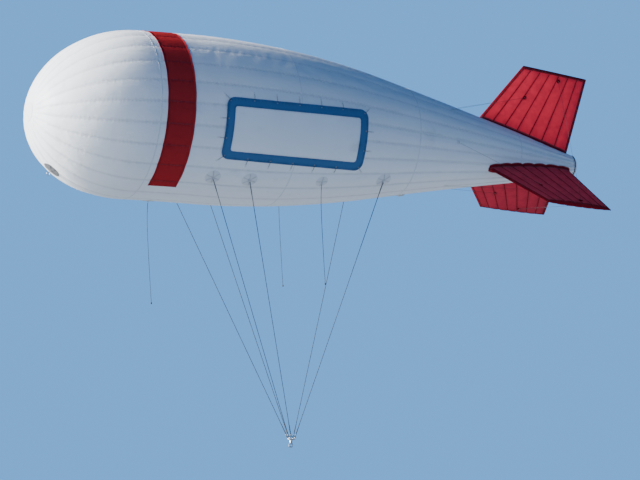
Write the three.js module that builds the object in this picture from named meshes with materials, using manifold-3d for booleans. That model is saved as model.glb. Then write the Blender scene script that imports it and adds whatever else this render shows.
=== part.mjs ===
// Tethered aerostat: a helium-filled hull with a red band, three inflated fins, a blank banner on
// each flank, and the rigging that gathers under the belly into one swivel.
// Millimetres. +X runs aft, the nose points along -X, port is -Y and +Z is up. The origin is the
// centre of buoyancy, on the hull's axis.

import * as THREE from "three";
import { mergeVertices } from "three/addons/utils/BufferGeometryUtils.js";
import Module from "manifold-3d";

const wasm = await Module();
wasm.setup();

// Hull. A station is a distance aft of the nose tip, along the axis.
const HULL_LENGTH = 13550;
const HULL_RADIUS = 1900;
const NOSE_DEPTH = 2380;
const TAPER_START = 3890;
const CONE_START = 8360;
const CONE_SLOPE = 0.2262;
const MOUTH_STATION = 13400;
const BUOYANCY_STATION = 5025;
const WALL = 10;
const HULL_FACETS = 40;

// The soft hull hogs: its nose and its tail droop, each by a parabola from a station outwards.
const NOSE_SAG = 200;
const NOSE_SAG_START = 4400;
const TAIL_SAG = 230;
const TAIL_SAG_START = 6000;

// Gaps. Pieces that touch keep FIT_GAP. A skin's own facets need a little more over the round hull.
const FIT_GAP = 0.3;
const SKIN_GAP = 0.9;
const SKIN_THICKNESS = 5;

// Red band behind the nose. Its two ends stop short of the belly's centre line.
const BAND_START = 2570;
const BAND_WIDTH = 680;
const BAND_END_CLOCK = 148;

// Fins, as stations of the leading and trailing edges at two radii from the axis. The tip edge is
// nearer the axis at its trailing end, by the rake.
const FIN_ROOT_RADIUS = 250;
const FIN_TIP_RADIUS = 2130;
const FIN_ROOT_LEADING = 10630;
const FIN_ROOT_TRAILING = 13290;
const FIN_TIP_LEADING = 12070;
const FIN_TIP_TRAILING = 13680;
const FIN_TIP_RAKE = 80;
const FIN_ROOT_HALF_THICKNESS = 120;
const FIN_TIP_HALF_THICKNESS = 60;
const FIN_SECTION_POWER = 0.8;
const FINS = [
  { name: "fin_top", clock: 0 },
  { name: "fin_port", clock: 120 },
  { name: "fin_starboard", clock: 240 },
];

// Banners, blank, with a border all round.
const BANNER_STATION = 5790;
const BANNER_LENGTH = 3620;
const BANNER_HEIGHT = 1430;
const BANNER_CORNER = 200;
const PANEL_CORNER = 60;
const BANNER_STEPS = 14;
const BANNER_CLOCK = 98;
const BORDER_WIDTH = 200;

// Rigging under the belly. The eye angle is a bridle's place round the confluence plate.
const CONFLUENCE_STATION = 6900;
const CONFLUENCE_DROP = 7000;
const BRIDLES = [
  { row: "front", station: 3980, clock: 135, eyeAngle: 205 },
  { row: "middle", station: 4880, clock: 135, eyeAngle: 250 },
  { row: "rear", station: 8300, clock: 135, eyeAngle: 325 },
];
const LINE_RADIUS = 8;
const SPLICE_RADIUS = 13;
const SPLICE_LENGTH = 110;
const PATCH_RADIUS = 190;
const PLATE_RADIUS = 95;
const PLATE_THICKNESS = 14;
const EYE_CIRCLE_RADIUS = 68;
const EYE_LENGTH = 60;

// Swivel under the confluence plate.
const HOUSING_RADIUS = 34;
const HOUSING_HEIGHT = 70;
const HOUSING_LIP = 12;
const CAVITY_RADIUS = 26;
const SWIVEL_BORE_RADIUS = 13;
const SHANK_RADIUS = 12;
const HEAD_RADIUS = 24;
const HEAD_HEIGHT = 14;
const COLLAR_RADIUS = 22;
const COLLAR_HEIGHT = 8;
const SWIVEL_CLEARANCE = 6;
const EYE_PLATE_WIDTH = 90;
const EYE_PLATE_HEIGHT = 105;
const EYE_PLATE_THICKNESS = 18;
const EYE_HOLE_RADIUS = 22;
const EYE_BOTTOM_WIDTH = 50;

// Nose mooring ring, low on the nose.
const NOSE_PATCH_STATION = 647;
const NOSE_PATCH_RADIUS = 220;
const NOSE_TAB_LENGTH = 60;
const NOSE_RING_RADIUS = 36;
const NOSE_RING_TUBE = 7;

// Handling lines, which hang free, and where each hangs from. A route is a list of [aft, to
// starboard, share of the drop], the first two in millimetres: the wind carries a line a little aft.
const HANDLING_DROP = 2200;
const HANDLING_LINE_RADIUS = 6;
const HANDLING_SPLICE_LENGTH = 60;
const HANDLING_PATCH_RADIUS = 152;
const HANDLING_STEPS = 26;
const KNOT_RADIUS = 17;
const KNOT_HALF_LENGTH = 26;
const HANDLING_LINES = [
  { name: "belly", station: 3010, clock: 180 },
  { name: "port", station: 6700, clock: 135 },
  { name: "starboard", station: 6700, clock: 225 },
];
const HANDLING_ROUTE = [
  [0, 0, 0],
  [0, 0, 0.02],
  [12, 2, 0.15],
  [50, 5, 0.32],
  [100, 4, 0.5],
  [152, 1, 0.68],
  [203, 0, 0.85],
  [250, 0, 1],
];

// Relief valve on the belly.
const VALVE_STATION = 9200;
const VALVE_RADIUS = 95;
const VALVE_DOME_RADIUS = 70;
const VALVE_HEIGHT = 34;
const VALVE_FLANGE_HEIGHT = 10;
const VALVE_SIDES = 28;

const FINISH = {
  envelope: { color: 0xe9edf2, roughness: 0.5, metalness: 0 },
  red: { color: 0xa81f2d, roughness: 0.55, metalness: 0 },
  blue: { color: 0x2f6ea3, roughness: 0.5, metalness: 0 },
  panel: { color: 0xdfe5ec, roughness: 0.5, metalness: 0 },
  patch: { color: 0xb3b6ba, roughness: 0.8, metalness: 0 },
  webbing: { color: 0x3d4146, roughness: 0.8, metalness: 0 },
  rope: { color: 0x4a4d52, roughness: 0.85, metalness: 0 },
  metal: { color: 0x9da2a6, roughness: 0.35, metalness: 0.9 },
  plastic: { color: 0xcfd3d6, roughness: 0.45, metalness: 0 },
};

const degrees = THREE.MathUtils.degToRad;
const aerostat = new THREE.Group();
const axisTurn = new THREE.Matrix4().makeRotationZ(-Math.PI / 2);


// Solids

function triangleList(geometry) {
  const bare = new THREE.BufferGeometry();
  bare.setAttribute("position", geometry.getAttribute("position"));
  if (geometry.index) bare.setIndex(geometry.index);
  const merged = mergeVertices(bare, 0.001);
  const index = merged.index.array;
  const kept = [];
  for (let i = 0; i < index.length; i += 3) {
    const [a, b, c] = [index[i], index[i + 1], index[i + 2]];
    if (a !== b && b !== c && c !== a) kept.push(a, b, c);
  }
  return { positions: merged.getAttribute("position").array, kept };
}

function signedVolume(positions, triangles) {
  const [a, b, c] = [new THREE.Vector3(), new THREE.Vector3(), new THREE.Vector3()];
  let volume = 0;
  for (let i = 0; i < triangles.length; i += 3) {
    a.fromArray(positions, 3 * triangles[i]);
    b.fromArray(positions, 3 * triangles[i + 1]);
    c.fromArray(positions, 3 * triangles[i + 2]);
    volume += a.dot(b.cross(c)) / 6;
  }
  return volume;
}

// A geometry with merged vertices, no empty triangles and its faces pointing out.
function closed(geometry) {
  const { positions, kept } = triangleList(geometry);
  if (signedVolume(positions, kept) < 0) kept.reverse();
  const solid = new THREE.BufferGeometry();
  solid.setAttribute("position", new THREE.BufferAttribute(new Float32Array(positions), 3));
  solid.setIndex(kept);
  return solid;
}

function toManifold(geometry) {
  const solid = closed(geometry);
  return new wasm.Manifold(new wasm.Mesh({
    numProp: 3,
    vertProperties: new Float32Array(solid.getAttribute("position").array),
    triVerts: new Uint32Array(solid.index.array),
  }));
}

function fromManifold(manifold) {
  const mesh = manifold.getMesh();
  const geometry = new THREE.BufferGeometry();
  geometry.setAttribute("position", new THREE.BufferAttribute(new Float32Array(mesh.vertProperties), 3));
  geometry.setIndex([...mesh.triVerts]);
  return geometry;
}

function joined(...geometries) {
  return geometries.map(toManifold).reduce((sum, next) => sum.add(next));
}

function add(name, geometry, finish) {
  const solid = closed(geometry);
  solid.computeVertexNormals();
  const mesh = new THREE.Mesh(solid, new THREE.MeshStandardMaterial(finish));
  mesh.name = name;
  aerostat.add(mesh);
}


// Hull surface

function hullRadius(station) {
  if (station < NOSE_DEPTH) {
    return HULL_RADIUS * Math.sqrt(1 - ((NOSE_DEPTH - station) / NOSE_DEPTH) ** 2);
  }
  if (station < TAPER_START) return HULL_RADIUS;
  const bend = CONE_SLOPE / 2 / (CONE_START - TAPER_START);
  if (station < CONE_START) return HULL_RADIUS - bend * (station - TAPER_START) ** 2;
  return HULL_RADIUS - bend * (CONE_START - TAPER_START) ** 2 - CONE_SLOPE * (station - CONE_START);
}

function hullSlope(station) {
  const step = 1;
  return (hullRadius(station + step) - hullRadius(station - step)) / (2 * step);
}

function sagAt(station) {
  const fore = Math.max(0, NOSE_SAG_START - station) / NOSE_SAG_START;
  const aft = Math.max(0, station - TAIL_SAG_START) / (HULL_LENGTH - TAIL_SAG_START);
  return NOSE_SAG * fore ** 2 + TAIL_SAG * aft ** 2;
}

// A geometry made about the straight axis, lowered along the hull's own droop.
function sagged(geometry) {
  const position = geometry.getAttribute("position");
  for (let i = 0; i < position.count; i += 1) {
    position.setZ(i, position.getZ(i) - sagAt(position.getX(i) + BUOYANCY_STATION));
  }
  return geometry;
}

// The clock is 0 at the top, 90 at port, 180 at the belly and 270 at starboard.
function hullNormal(station, clock) {
  const around = degrees(clock);
  return new THREE.Vector3(-hullSlope(station), -Math.sin(around), Math.cos(around)).normalize();
}

function hullPoint(station, clock, lift = 0) {
  const around = degrees(clock);
  const radius = hullRadius(station);
  const point = new THREE.Vector3(
    station - BUOYANCY_STATION, -radius * Math.sin(around), radius * Math.cos(around) - sagAt(station));
  return lift ? point.addScaledVector(hullNormal(station, clock), lift) : point;
}

// A place on the hull, along (aft) and across (towards the belly on port) from a centre.
function hullPlace(station, clock, along, across, lift) {
  const slope = hullSlope(station);
  const here = station + along / Math.hypot(1, slope);
  return hullPoint(here, clock + THREE.MathUtils.radToDeg(across / hullRadius(here)), lift);
}

// The same stations for every offset, so that the faces of two profiles stay the same distance apart.
function hullProfile(offset) {
  const points = [new THREE.Vector2(0, -offset)];
  const noseSteps = 10;
  for (let i = 1; i <= noseSteps; i += 1) {
    const turn = (i / noseSteps) * Math.PI / 2;
    points.push(new THREE.Vector2(
      (HULL_RADIUS + offset) * Math.sin(turn), NOSE_DEPTH - (NOSE_DEPTH + offset) * Math.cos(turn)));
  }
  const stretches = [
    { from: NOSE_DEPTH, to: BAND_START, steps: 1 },
    { from: BAND_START, to: BAND_START + BAND_WIDTH, steps: 1 },
    { from: BAND_START + BAND_WIDTH, to: TAPER_START, steps: 1 },
    { from: TAPER_START, to: CONE_START, steps: 8 },
    { from: CONE_START, to: MOUTH_STATION, steps: 8 },
  ];
  for (const { from, to, steps } of stretches) {
    for (let i = 1; i <= steps; i += 1) {
      const station = THREE.MathUtils.lerp(from, to, i / steps);
      points.push(new THREE.Vector2(hullRadius(station) + offset, station));
    }
  }
  return points;
}

// A profile of (radius, station) points turned about the hull's axis.
function turned(profile, facets = HULL_FACETS) {
  const geometry = new THREE.LatheGeometry(profile, facets);
  geometry.applyMatrix4(axisTurn);
  geometry.translate(-BUOYANCY_STATION, 0, 0);
  return sagged(geometry);
}

// What a piece seated on the hull is cut back by. It reaches past the hull's end.
const bodyEnd = HULL_LENGTH + 100;
const hullBody = toManifold(turned([
  ...hullProfile(FIT_GAP),
  new THREE.Vector2(hullRadius(bodyEnd) + FIT_GAP, bodyEnd),
  new THREE.Vector2(0, bodyEnd),
]));

function makeEnvelope() {
  const outer = hullProfile(0);
  const inner = hullProfile(-WALL).reverse();
  add("envelope", turned([...outer, ...inner]), FINISH.envelope);
}

function makeTailCap() {
  const radius = hullRadius(MOUTH_STATION);
  const depth = HULL_LENGTH - MOUTH_STATION;
  const profile = [new THREE.Vector2(0, MOUTH_STATION + FIT_GAP)];
  const steps = 4;
  for (let i = 0; i <= steps; i += 1) {
    const turn = (i / steps) * Math.PI / 2;
    const station = MOUTH_STATION + FIT_GAP + (depth - FIT_GAP) * Math.sin(turn);
    profile.push(new THREE.Vector2(radius * Math.cos(turn), station));
  }
  add("tail_cap", turned(profile), FINISH.envelope);
}


// Skins laid on the hull

// A thin closed sheet. place(i, j, lift) gives the point of column i and row j.
function sheet(columns, rows, place, isRing = false) {
  const lifts = [SKIN_GAP, SKIN_GAP + SKIN_THICKNESS];
  const positions = [];
  const index = [];
  const at = (i, j, layer) => ((isRing ? i % columns : i) * (rows + 1) + j) * 2 + layer;
  const quad = (a, b, c, d) => index.push(a, b, c, a, c, d);
  for (let i = 0; i <= (isRing ? columns - 1 : columns); i += 1) {
    for (let j = 0; j <= rows; j += 1) {
      for (const lift of lifts) positions.push(...place(i, j, lift).toArray());
    }
  }
  for (let i = 0; i < columns; i += 1) {
    for (let j = 0; j < rows; j += 1) {
      quad(at(i, j, 1), at(i + 1, j, 1), at(i + 1, j + 1, 1), at(i, j + 1, 1));
      quad(at(i, j, 0), at(i, j + 1, 0), at(i + 1, j + 1, 0), at(i + 1, j, 0));
    }
    quad(at(i, 0, 0), at(i + 1, 0, 0), at(i + 1, 0, 1), at(i, 0, 1));
    quad(at(i, rows, 1), at(i + 1, rows, 1), at(i + 1, rows, 0), at(i, rows, 0));
  }
  if (!isRing) {
    for (let j = 0; j < rows; j += 1) {
      quad(at(0, j, 0), at(0, j, 1), at(0, j + 1, 1), at(0, j + 1, 0));
      quad(at(columns, j, 1), at(columns, j, 0), at(columns, j + 1, 0), at(columns, j + 1, 1));
    }
  }
  const geometry = new THREE.BufferGeometry();
  geometry.setAttribute("position", new THREE.Float32BufferAttribute(positions, 3));
  geometry.setIndex(index);
  return geometry;
}

// Columns of [along, half height] that make a rectangle with round corners.
function roundedColumns(length, height, corner, straightSteps) {
  const cornerSteps = 3;
  const left = [];
  for (let i = 0; i <= cornerSteps; i += 1) {
    const turn = (i / cornerSteps) * Math.PI / 2;
    const along = corner * (1 - Math.cos(turn)) - length / 2;
    left.push([along, height / 2 - corner + corner * Math.sin(turn)]);
  }
  const right = left.map(([along, half]) => [-along, half]).reverse();
  const middle = [];
  for (let i = 1; i < straightSteps; i += 1) {
    const along = (length / 2 - corner) * (2 * i / straightSteps - 1);
    middle.push([along, height / 2]);
  }
  return [...left, ...middle, ...right];
}

function makeRedBand() {
  const aroundSteps = 100;
  const place = (i, j, lift) => {
    const clock = THREE.MathUtils.lerp(-BAND_END_CLOCK, BAND_END_CLOCK, i / aroundSteps);
    return hullPoint(BAND_START + BAND_WIDTH * j, clock, lift);
  };
  add("red_band", sheet(aroundSteps, 1, place), FINISH.red);
}

function makeBanner(side, mirror) {
  const clock = mirror * BANNER_CLOCK;
  const panelLength = BANNER_LENGTH - 2 * (BORDER_WIDTH + FIT_GAP);
  const panelHeight = BANNER_HEIGHT - 2 * (BORDER_WIDTH + FIT_GAP);
  const columns = roundedColumns(panelLength, panelHeight, PANEL_CORNER, BANNER_STEPS);
  const rows = BANNER_STEPS;
  const panelPlace = (i, j, lift) => {
    const [along, half] = columns[i];
    return hullPlace(BANNER_STATION, clock, along, mirror * half * (2 * j / rows - 1), lift);
  };
  add(`banner_${side}`, sheet(columns.length - 1, rows, panelPlace), FINISH.panel);

  const outer = loopOf(
    roundedColumns(BANNER_LENGTH, BANNER_HEIGHT, BANNER_CORNER, BANNER_STEPS), BANNER_STEPS);
  const inner = loopOf(
    roundedColumns(panelLength + 2 * FIT_GAP, panelHeight + 2 * FIT_GAP, PANEL_CORNER, BANNER_STEPS),
    BANNER_STEPS);
  const acrossSteps = 3;
  const borderPlace = (i, j, lift) => {
    const share = j / acrossSteps;
    const along = THREE.MathUtils.lerp(outer[i][0], inner[i][0], share);
    const across = THREE.MathUtils.lerp(outer[i][1], inner[i][1], share);
    return hullPlace(BANNER_STATION, clock, along, mirror * across, lift);
  };
  add(`banner_border_${side}`, sheet(outer.length, acrossSteps, borderPlace, true), FINISH.blue);
}

// The outline of rounded columns as one loop, with its two upright ends in steps.
function loopOf(columns, endSteps) {
  const loop = columns.map(([along, half]) => [along, half]);
  const upright = (along, from, to) => {
    for (let i = 1; i < endSteps; i += 1) {
      loop.push([along, THREE.MathUtils.lerp(from, to, i / endSteps)]);
    }
  };
  const [lastAlong, lastHalf] = columns[columns.length - 1];
  upright(lastAlong, lastHalf, -lastHalf);
  loop.push(...columns.map(([along, half]) => [along, -half]).reverse());
  const [firstAlong, firstHalf] = columns[0];
  upright(firstAlong, -firstHalf, firstHalf);
  return loop;
}

function patchDisc(station, clock, radius) {
  const sectors = 14;
  const rings = 2;
  const place = (i, j, lift) => {
    const turn = (i / sectors) * 2 * Math.PI;
    const reach = radius * j / rings;
    return hullPlace(station, clock, reach * Math.cos(turn), reach * Math.sin(turn), lift);
  };
  return sheet(sectors, rings, place, true);
}


// Rods and rings

function rod(from, to, radius, sides = 12) {
  const geometry = new THREE.CylinderGeometry(radius, radius, from.distanceTo(to), sides);
  const aim = new THREE.Quaternion().setFromUnitVectors(
    new THREE.Vector3(0, 1, 0), to.clone().sub(from).normalize());
  geometry.applyQuaternion(aim);
  const middle = from.clone().add(to).multiplyScalar(0.5);
  geometry.translate(middle.x, middle.y, middle.z);
  return geometry;
}

// A load patch: a disc on the hull with the splice that a line hangs from.
function addPatch(name, station, clock, radius, direction, spliceLength, finish = FINISH.patch) {
  const root = hullPoint(station, clock);
  const start = root.clone().addScaledVector(direction, -SPLICE_RADIUS);
  const end = root.clone().addScaledVector(direction, spliceLength);
  const disc = patchDisc(station, clock, radius);
  const solid = joined(disc, rod(start, end, SPLICE_RADIUS)).subtract(hullBody);
  add(name, fromManifold(solid), finish);
  return end.addScaledVector(direction, FIT_GAP);
}


// Fins

function finGeometry() {
  const spanSteps = 4;
  const sectionPoints = 20;
  const positions = [];
  const index = [];
  const section = (share, shrink) => {
    const leading = THREE.MathUtils.lerp(FIN_ROOT_LEADING, FIN_TIP_LEADING, share);
    const trailing = THREE.MathUtils.lerp(FIN_ROOT_TRAILING, FIN_TIP_TRAILING, share);
    const height = THREE.MathUtils.lerp(FIN_ROOT_RADIUS, FIN_TIP_RADIUS, share);
    const thickness = THREE.MathUtils.lerp(FIN_ROOT_HALF_THICKNESS, FIN_TIP_HALF_THICKNESS, share);
    const middle = (leading + trailing) / 2;
    const inset = thickness * (1 - shrink);
    for (let i = 0; i < sectionPoints; i += 1) {
      const turn = (i / sectionPoints) * 2 * Math.PI;
      const bulge = Math.sign(Math.sin(turn)) * Math.abs(Math.sin(turn)) ** FIN_SECTION_POWER;
      const along = middle + ((trailing - leading) / 2 - inset) * Math.cos(turn);
      const raked = height - FIN_TIP_RAKE * share * (1 + Math.cos(turn)) / 2;
      positions.push(along - BUOYANCY_STATION, thickness * shrink * bulge, raked);
    }
  };
  const lastShare = 1 - FIN_TIP_HALF_THICKNESS / (FIN_TIP_RADIUS - FIN_ROOT_RADIUS);
  for (let i = 0; i <= spanSteps; i += 1) section(lastShare * i / spanSteps, 1);
  const roundedTip = [[2 / 3, 0.86], [5 / 6, 0.6], [1, 0.2]];
  for (const [way, shrink] of roundedTip) section(THREE.MathUtils.lerp(lastShare, 1, way), shrink);
  const sections = spanSteps + 1 + roundedTip.length;
  const at = (row, i) => row * sectionPoints + (i % sectionPoints);
  for (let row = 0; row + 1 < sections; row += 1) {
    for (let i = 0; i < sectionPoints; i += 1) {
      index.push(at(row, i), at(row, i + 1), at(row + 1, i + 1));
      index.push(at(row, i), at(row + 1, i + 1), at(row + 1, i));
    }
  }
  for (let i = 1; i + 1 < sectionPoints; i += 1) {
    index.push(at(0, 0), at(0, i + 1), at(0, i));
    index.push(at(sections - 1, 0), at(sections - 1, i), at(sections - 1, i + 1));
  }
  const geometry = new THREE.BufferGeometry();
  geometry.setAttribute("position", new THREE.Float32BufferAttribute(positions, 3));
  geometry.setIndex(index);
  return geometry;
}

function makeFins() {
  for (const { name, clock } of FINS) {
    const geometry = finGeometry();
    geometry.rotateX(degrees(clock));
    add(name, fromManifold(toManifold(sagged(geometry)).subtract(hullBody)), FINISH.red);
  }
}


// Rigging

const confluence = new THREE.Vector3(CONFLUENCE_STATION - BUOYANCY_STATION, 0, -CONFLUENCE_DROP);

function makeBridles() {
  const plate = new THREE.CylinderGeometry(PLATE_RADIUS, PLATE_RADIUS, PLATE_THICKNESS, 32);
  plate.rotateX(Math.PI / 2);
  plate.translate(...confluence.toArray());
  const plateParts = [plate];
  for (const [side, mirror] of [["port", 1], ["starboard", -1]]) {
    for (const { row, station, clock, eyeAngle } of BRIDLES) {
      const around = degrees(eyeAngle);
      const eye = confluence.clone().add(new THREE.Vector3(
        EYE_CIRCLE_RADIUS * Math.cos(around), mirror * EYE_CIRCLE_RADIUS * Math.sin(around), 0));
      const root = hullPoint(station, mirror * clock);
      const down = eye.clone().sub(root).normalize();
      const top = addPatch(
        `patch_${row}_${side}`, station, mirror * clock, PATCH_RADIUS, down, SPLICE_LENGTH);
      const eyeTop = eye.clone().addScaledVector(down, -EYE_LENGTH);
      plateParts.push(rod(eye, eyeTop, SPLICE_RADIUS));
      const bottom = eyeTop.clone().addScaledVector(down, -FIT_GAP);
      add(`bridle_${row}_${side}`, rod(top, bottom, LINE_RADIUS, 8), FINISH.rope);
    }
  }
  add("confluence_plate", fromManifold(joined(...plateParts)), FINISH.metal);
}

function upright(profile, facets, at) {
  const geometry = new THREE.LatheGeometry(profile.map(([r, z]) => new THREE.Vector2(r, z)), facets);
  geometry.rotateX(Math.PI / 2);
  geometry.translate(at.x, at.y, at.z);
  return geometry;
}

function makeSwivel() {
  const top = -PLATE_THICKNESS / 2 - FIT_GAP;
  const bottom = top - HOUSING_HEIGHT;
  const lip = bottom + HOUSING_LIP;
  const housing = [
    [0, top],
    [HOUSING_RADIUS, top],
    [HOUSING_RADIUS, bottom],
    [SWIVEL_BORE_RADIUS, bottom],
    [SWIVEL_BORE_RADIUS, lip],
    [CAVITY_RADIUS, lip],
    [CAVITY_RADIUS, top - HOUSING_LIP],
    [0, top - HOUSING_LIP],
  ];
  add("swivel_housing", upright(housing, 32, confluence), FINISH.metal);

  const headBottom = lip + FIT_GAP;
  const collarTop = bottom - SWIVEL_CLEARANCE;
  const collarBottom = collarTop - COLLAR_HEIGHT;
  const spindle = [
    [0, headBottom + HEAD_HEIGHT],
    [HEAD_RADIUS, headBottom + HEAD_HEIGHT],
    [HEAD_RADIUS, headBottom],
    [SHANK_RADIUS, headBottom],
    [SHANK_RADIUS, collarTop],
    [COLLAR_RADIUS, collarTop],
    [COLLAR_RADIUS, collarBottom],
    [0, collarBottom],
  ];
  const plateTop = collarBottom + COLLAR_HEIGHT / 2;
  const plateBottom = plateTop - EYE_PLATE_HEIGHT;
  const outline = new THREE.Shape();
  outline.moveTo(-COLLAR_RADIUS, plateTop);
  outline.lineTo(-EYE_PLATE_WIDTH / 2, plateTop - COLLAR_RADIUS);
  outline.lineTo(-EYE_PLATE_WIDTH / 2, plateBottom + COLLAR_RADIUS);
  outline.lineTo(-EYE_BOTTOM_WIDTH / 2, plateBottom);
  outline.lineTo(EYE_BOTTOM_WIDTH / 2, plateBottom);
  outline.lineTo(EYE_PLATE_WIDTH / 2, plateBottom + COLLAR_RADIUS);
  outline.lineTo(EYE_PLATE_WIDTH / 2, plateTop - COLLAR_RADIUS);
  outline.lineTo(COLLAR_RADIUS, plateTop);
  outline.closePath();
  const hole = new THREE.Path();
  hole.absarc(0, (plateTop + plateBottom) / 2, EYE_HOLE_RADIUS, 0, 2 * Math.PI);
  outline.holes.push(hole);
  const plate = new THREE.ExtrudeGeometry(
    outline, { depth: EYE_PLATE_THICKNESS, bevelEnabled: false, curveSegments: 12 });
  plate.translate(0, 0, -EYE_PLATE_THICKNESS / 2);
  plate.rotateX(Math.PI / 2);
  plate.translate(...confluence.toArray());
  add("swivel_eye", fromManifold(joined(upright(spindle, 32, confluence), plate)), FINISH.metal);
}

function makeNoseMooring() {
  const out = hullNormal(NOSE_PATCH_STATION, 180);
  const tip = addPatch(
    "nose_patch", NOSE_PATCH_STATION, 180, NOSE_PATCH_RADIUS, out, NOSE_TAB_LENGTH, FINISH.webbing);
  const ring = new THREE.TorusGeometry(NOSE_RING_RADIUS, NOSE_RING_TUBE, 8, 24);
  ring.rotateX(Math.PI / 2);
  const centre = tip.addScaledVector(out, NOSE_RING_RADIUS + NOSE_RING_TUBE);
  ring.translate(...centre.toArray());
  add("nose_ring", ring, FINISH.metal);
}

function makeHandlingLines() {
  const down = new THREE.Vector3(0, 0, -1);
  for (const { name, station, clock } of HANDLING_LINES) {
    const start = addPatch(
      `handling_patch_${name}`, station, clock, HANDLING_PATCH_RADIUS, down, HANDLING_SPLICE_LENGTH);
    const points = HANDLING_ROUTE.map(([aft, side, share]) => new THREE.Vector3(
      start.x + aft, start.y + side, start.z - HANDLING_DROP * share));
    const path = new THREE.CatmullRomCurve3(points);
    const section = new THREE.Shape();
    section.absarc(0, 0, HANDLING_LINE_RADIUS, 0, 2 * Math.PI);
    const line = new THREE.ExtrudeGeometry(
      section, { steps: HANDLING_STEPS, extrudePath: path, curveSegments: 4 });
    add(`handling_line_${name}`, line, FINISH.rope);
    const along = path.getTangentAt(1);
    const middle = points[points.length - 1].clone().addScaledVector(along, KNOT_HALF_LENGTH + FIT_GAP);
    const knot = new THREE.SphereGeometry(KNOT_RADIUS, 12, 8);
    knot.scale(1, KNOT_HALF_LENGTH / KNOT_RADIUS, 1);
    knot.applyQuaternion(new THREE.Quaternion().setFromUnitVectors(new THREE.Vector3(0, 1, 0), along));
    knot.translate(...middle.toArray());
    add(`handling_knot_${name}`, knot, FINISH.rope);
  }
}

function makeReliefValve() {
  const root = hullPoint(VALVE_STATION, 180);
  const out = hullNormal(VALVE_STATION, 180);
  const inside = root.clone().addScaledVector(out, -VALVE_HEIGHT);
  const flangeFace = root.clone().addScaledVector(out, VALVE_FLANGE_HEIGHT);
  const domeFace = root.clone().addScaledVector(out, VALVE_HEIGHT);
  const flange = rod(inside, flangeFace, VALVE_RADIUS, VALVE_SIDES);
  const dome = rod(root, domeFace, VALVE_DOME_RADIUS, VALVE_SIDES);
  add("relief_valve", fromManifold(joined(flange, dome).subtract(hullBody)), FINISH.plastic);
}

makeEnvelope();
makeTailCap();
makeRedBand();
makeFins();
makeBanner("port", 1);
makeBanner("starboard", -1);
makeBridles();
makeSwivel();
makeNoseMooring();
makeHandlingLines();
makeReliefValve();

export default aerostat;
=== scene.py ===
"""Looks of the tethered aerostat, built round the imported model. Metres, in the model's own frame:
+X runs aft, port is -Y, +Z is up, and the origin is the hull's centre of buoyancy.

A station is a distance aft of the nose tip along the axis. A clock is an angle round the axis in
degrees: 0 at the top, 90 at port, 180 at the belly and 270 at starboard."""

import math

import bmesh
import bpy
import numpy as np
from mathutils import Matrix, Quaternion, Vector


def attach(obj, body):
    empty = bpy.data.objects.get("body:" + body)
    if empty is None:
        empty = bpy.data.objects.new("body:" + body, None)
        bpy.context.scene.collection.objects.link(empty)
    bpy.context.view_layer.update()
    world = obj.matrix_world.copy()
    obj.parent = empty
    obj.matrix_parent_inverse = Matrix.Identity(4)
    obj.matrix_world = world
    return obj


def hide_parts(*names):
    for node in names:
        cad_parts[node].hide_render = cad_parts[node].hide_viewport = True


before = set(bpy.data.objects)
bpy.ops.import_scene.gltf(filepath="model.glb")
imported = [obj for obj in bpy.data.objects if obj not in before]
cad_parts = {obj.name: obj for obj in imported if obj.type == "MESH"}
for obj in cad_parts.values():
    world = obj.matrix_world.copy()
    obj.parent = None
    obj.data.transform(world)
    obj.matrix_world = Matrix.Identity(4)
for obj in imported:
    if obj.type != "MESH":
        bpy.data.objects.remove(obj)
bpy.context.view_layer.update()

# Hull
HULL_LENGTH = 13.55
HULL_RADIUS = 1.9
NOSE_DEPTH = 2.38
TAPER_START = 3.89
CONE_START = 8.36
CONE_SLOPE = 0.2262
MOUTH_STATION = 13.4
BUOYANCY_STATION = 5.025
NOSE_SAG = 0.2
NOSE_SAG_START = 4.4
TAIL_SAG = 0.23
TAIL_SAG_START = 6.0
GORES = 24
GORE_ANGLE = 360 / GORES
GORE_DEPTH = 0.015
CREST = 0.002
HIGHEST_RELIEF = 0.012
SHOULDER_FOLD_CLOCK = 46
HOOP_STATIONS = (2.42, 5.86, 9.05, 11.9)

# Band, banners
BAND_START = 2.57
BAND_WIDTH = 0.68
BAND_END_CLOCK = 148
BAND_HEM = 0.0275
BANNER_STATION = 5.79
BANNER_CLOCK = 98
BANNER_LENGTH = 3.62
BANNER_HEIGHT = 1.43
BANNER_CORNER = 0.2
BORDER_WIDTH = 0.2
PANEL_CORNER = 0.06
PANEL_GAP = 0.006
GROMMET_RADIUS = 0.0125
GROMMET_WIRE = 0.0028
TIE_RADIUS = 0.0022
TIE_GAP = 0.006
TAB_LENGTH = 0.075
TAB_HALF_WIDTH = 0.02

# Fins
FIN_ROOT_RADIUS = 0.25
FIN_TIP_RADIUS = 2.13
FIN_ROOT_LEADING = 10.63
FIN_ROOT_TRAILING = 13.29
FIN_TIP_LEADING = 12.07
FIN_TIP_TRAILING = 13.68
FIN_TIP_RAKE = 0.08
FIN_ROOT_HALF_THICKNESS = 0.12
FIN_TIP_HALF_THICKNESS = 0.06
FIN_HEIGHT = FIN_TIP_RADIUS - FIN_ROOT_RADIUS
FIN_CHORD = 2.1     # at half height
FIN_CELLS = 7
PIPING_RADIUS = 0.0085
BINDING_WIDTH = 0.065
RIB_TAPE_HALF_WIDTH = 0.012
SKIRT_WIDTH = 0.055
FINS = {"top": 0, "port": 120, "starboard": 240}

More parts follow.
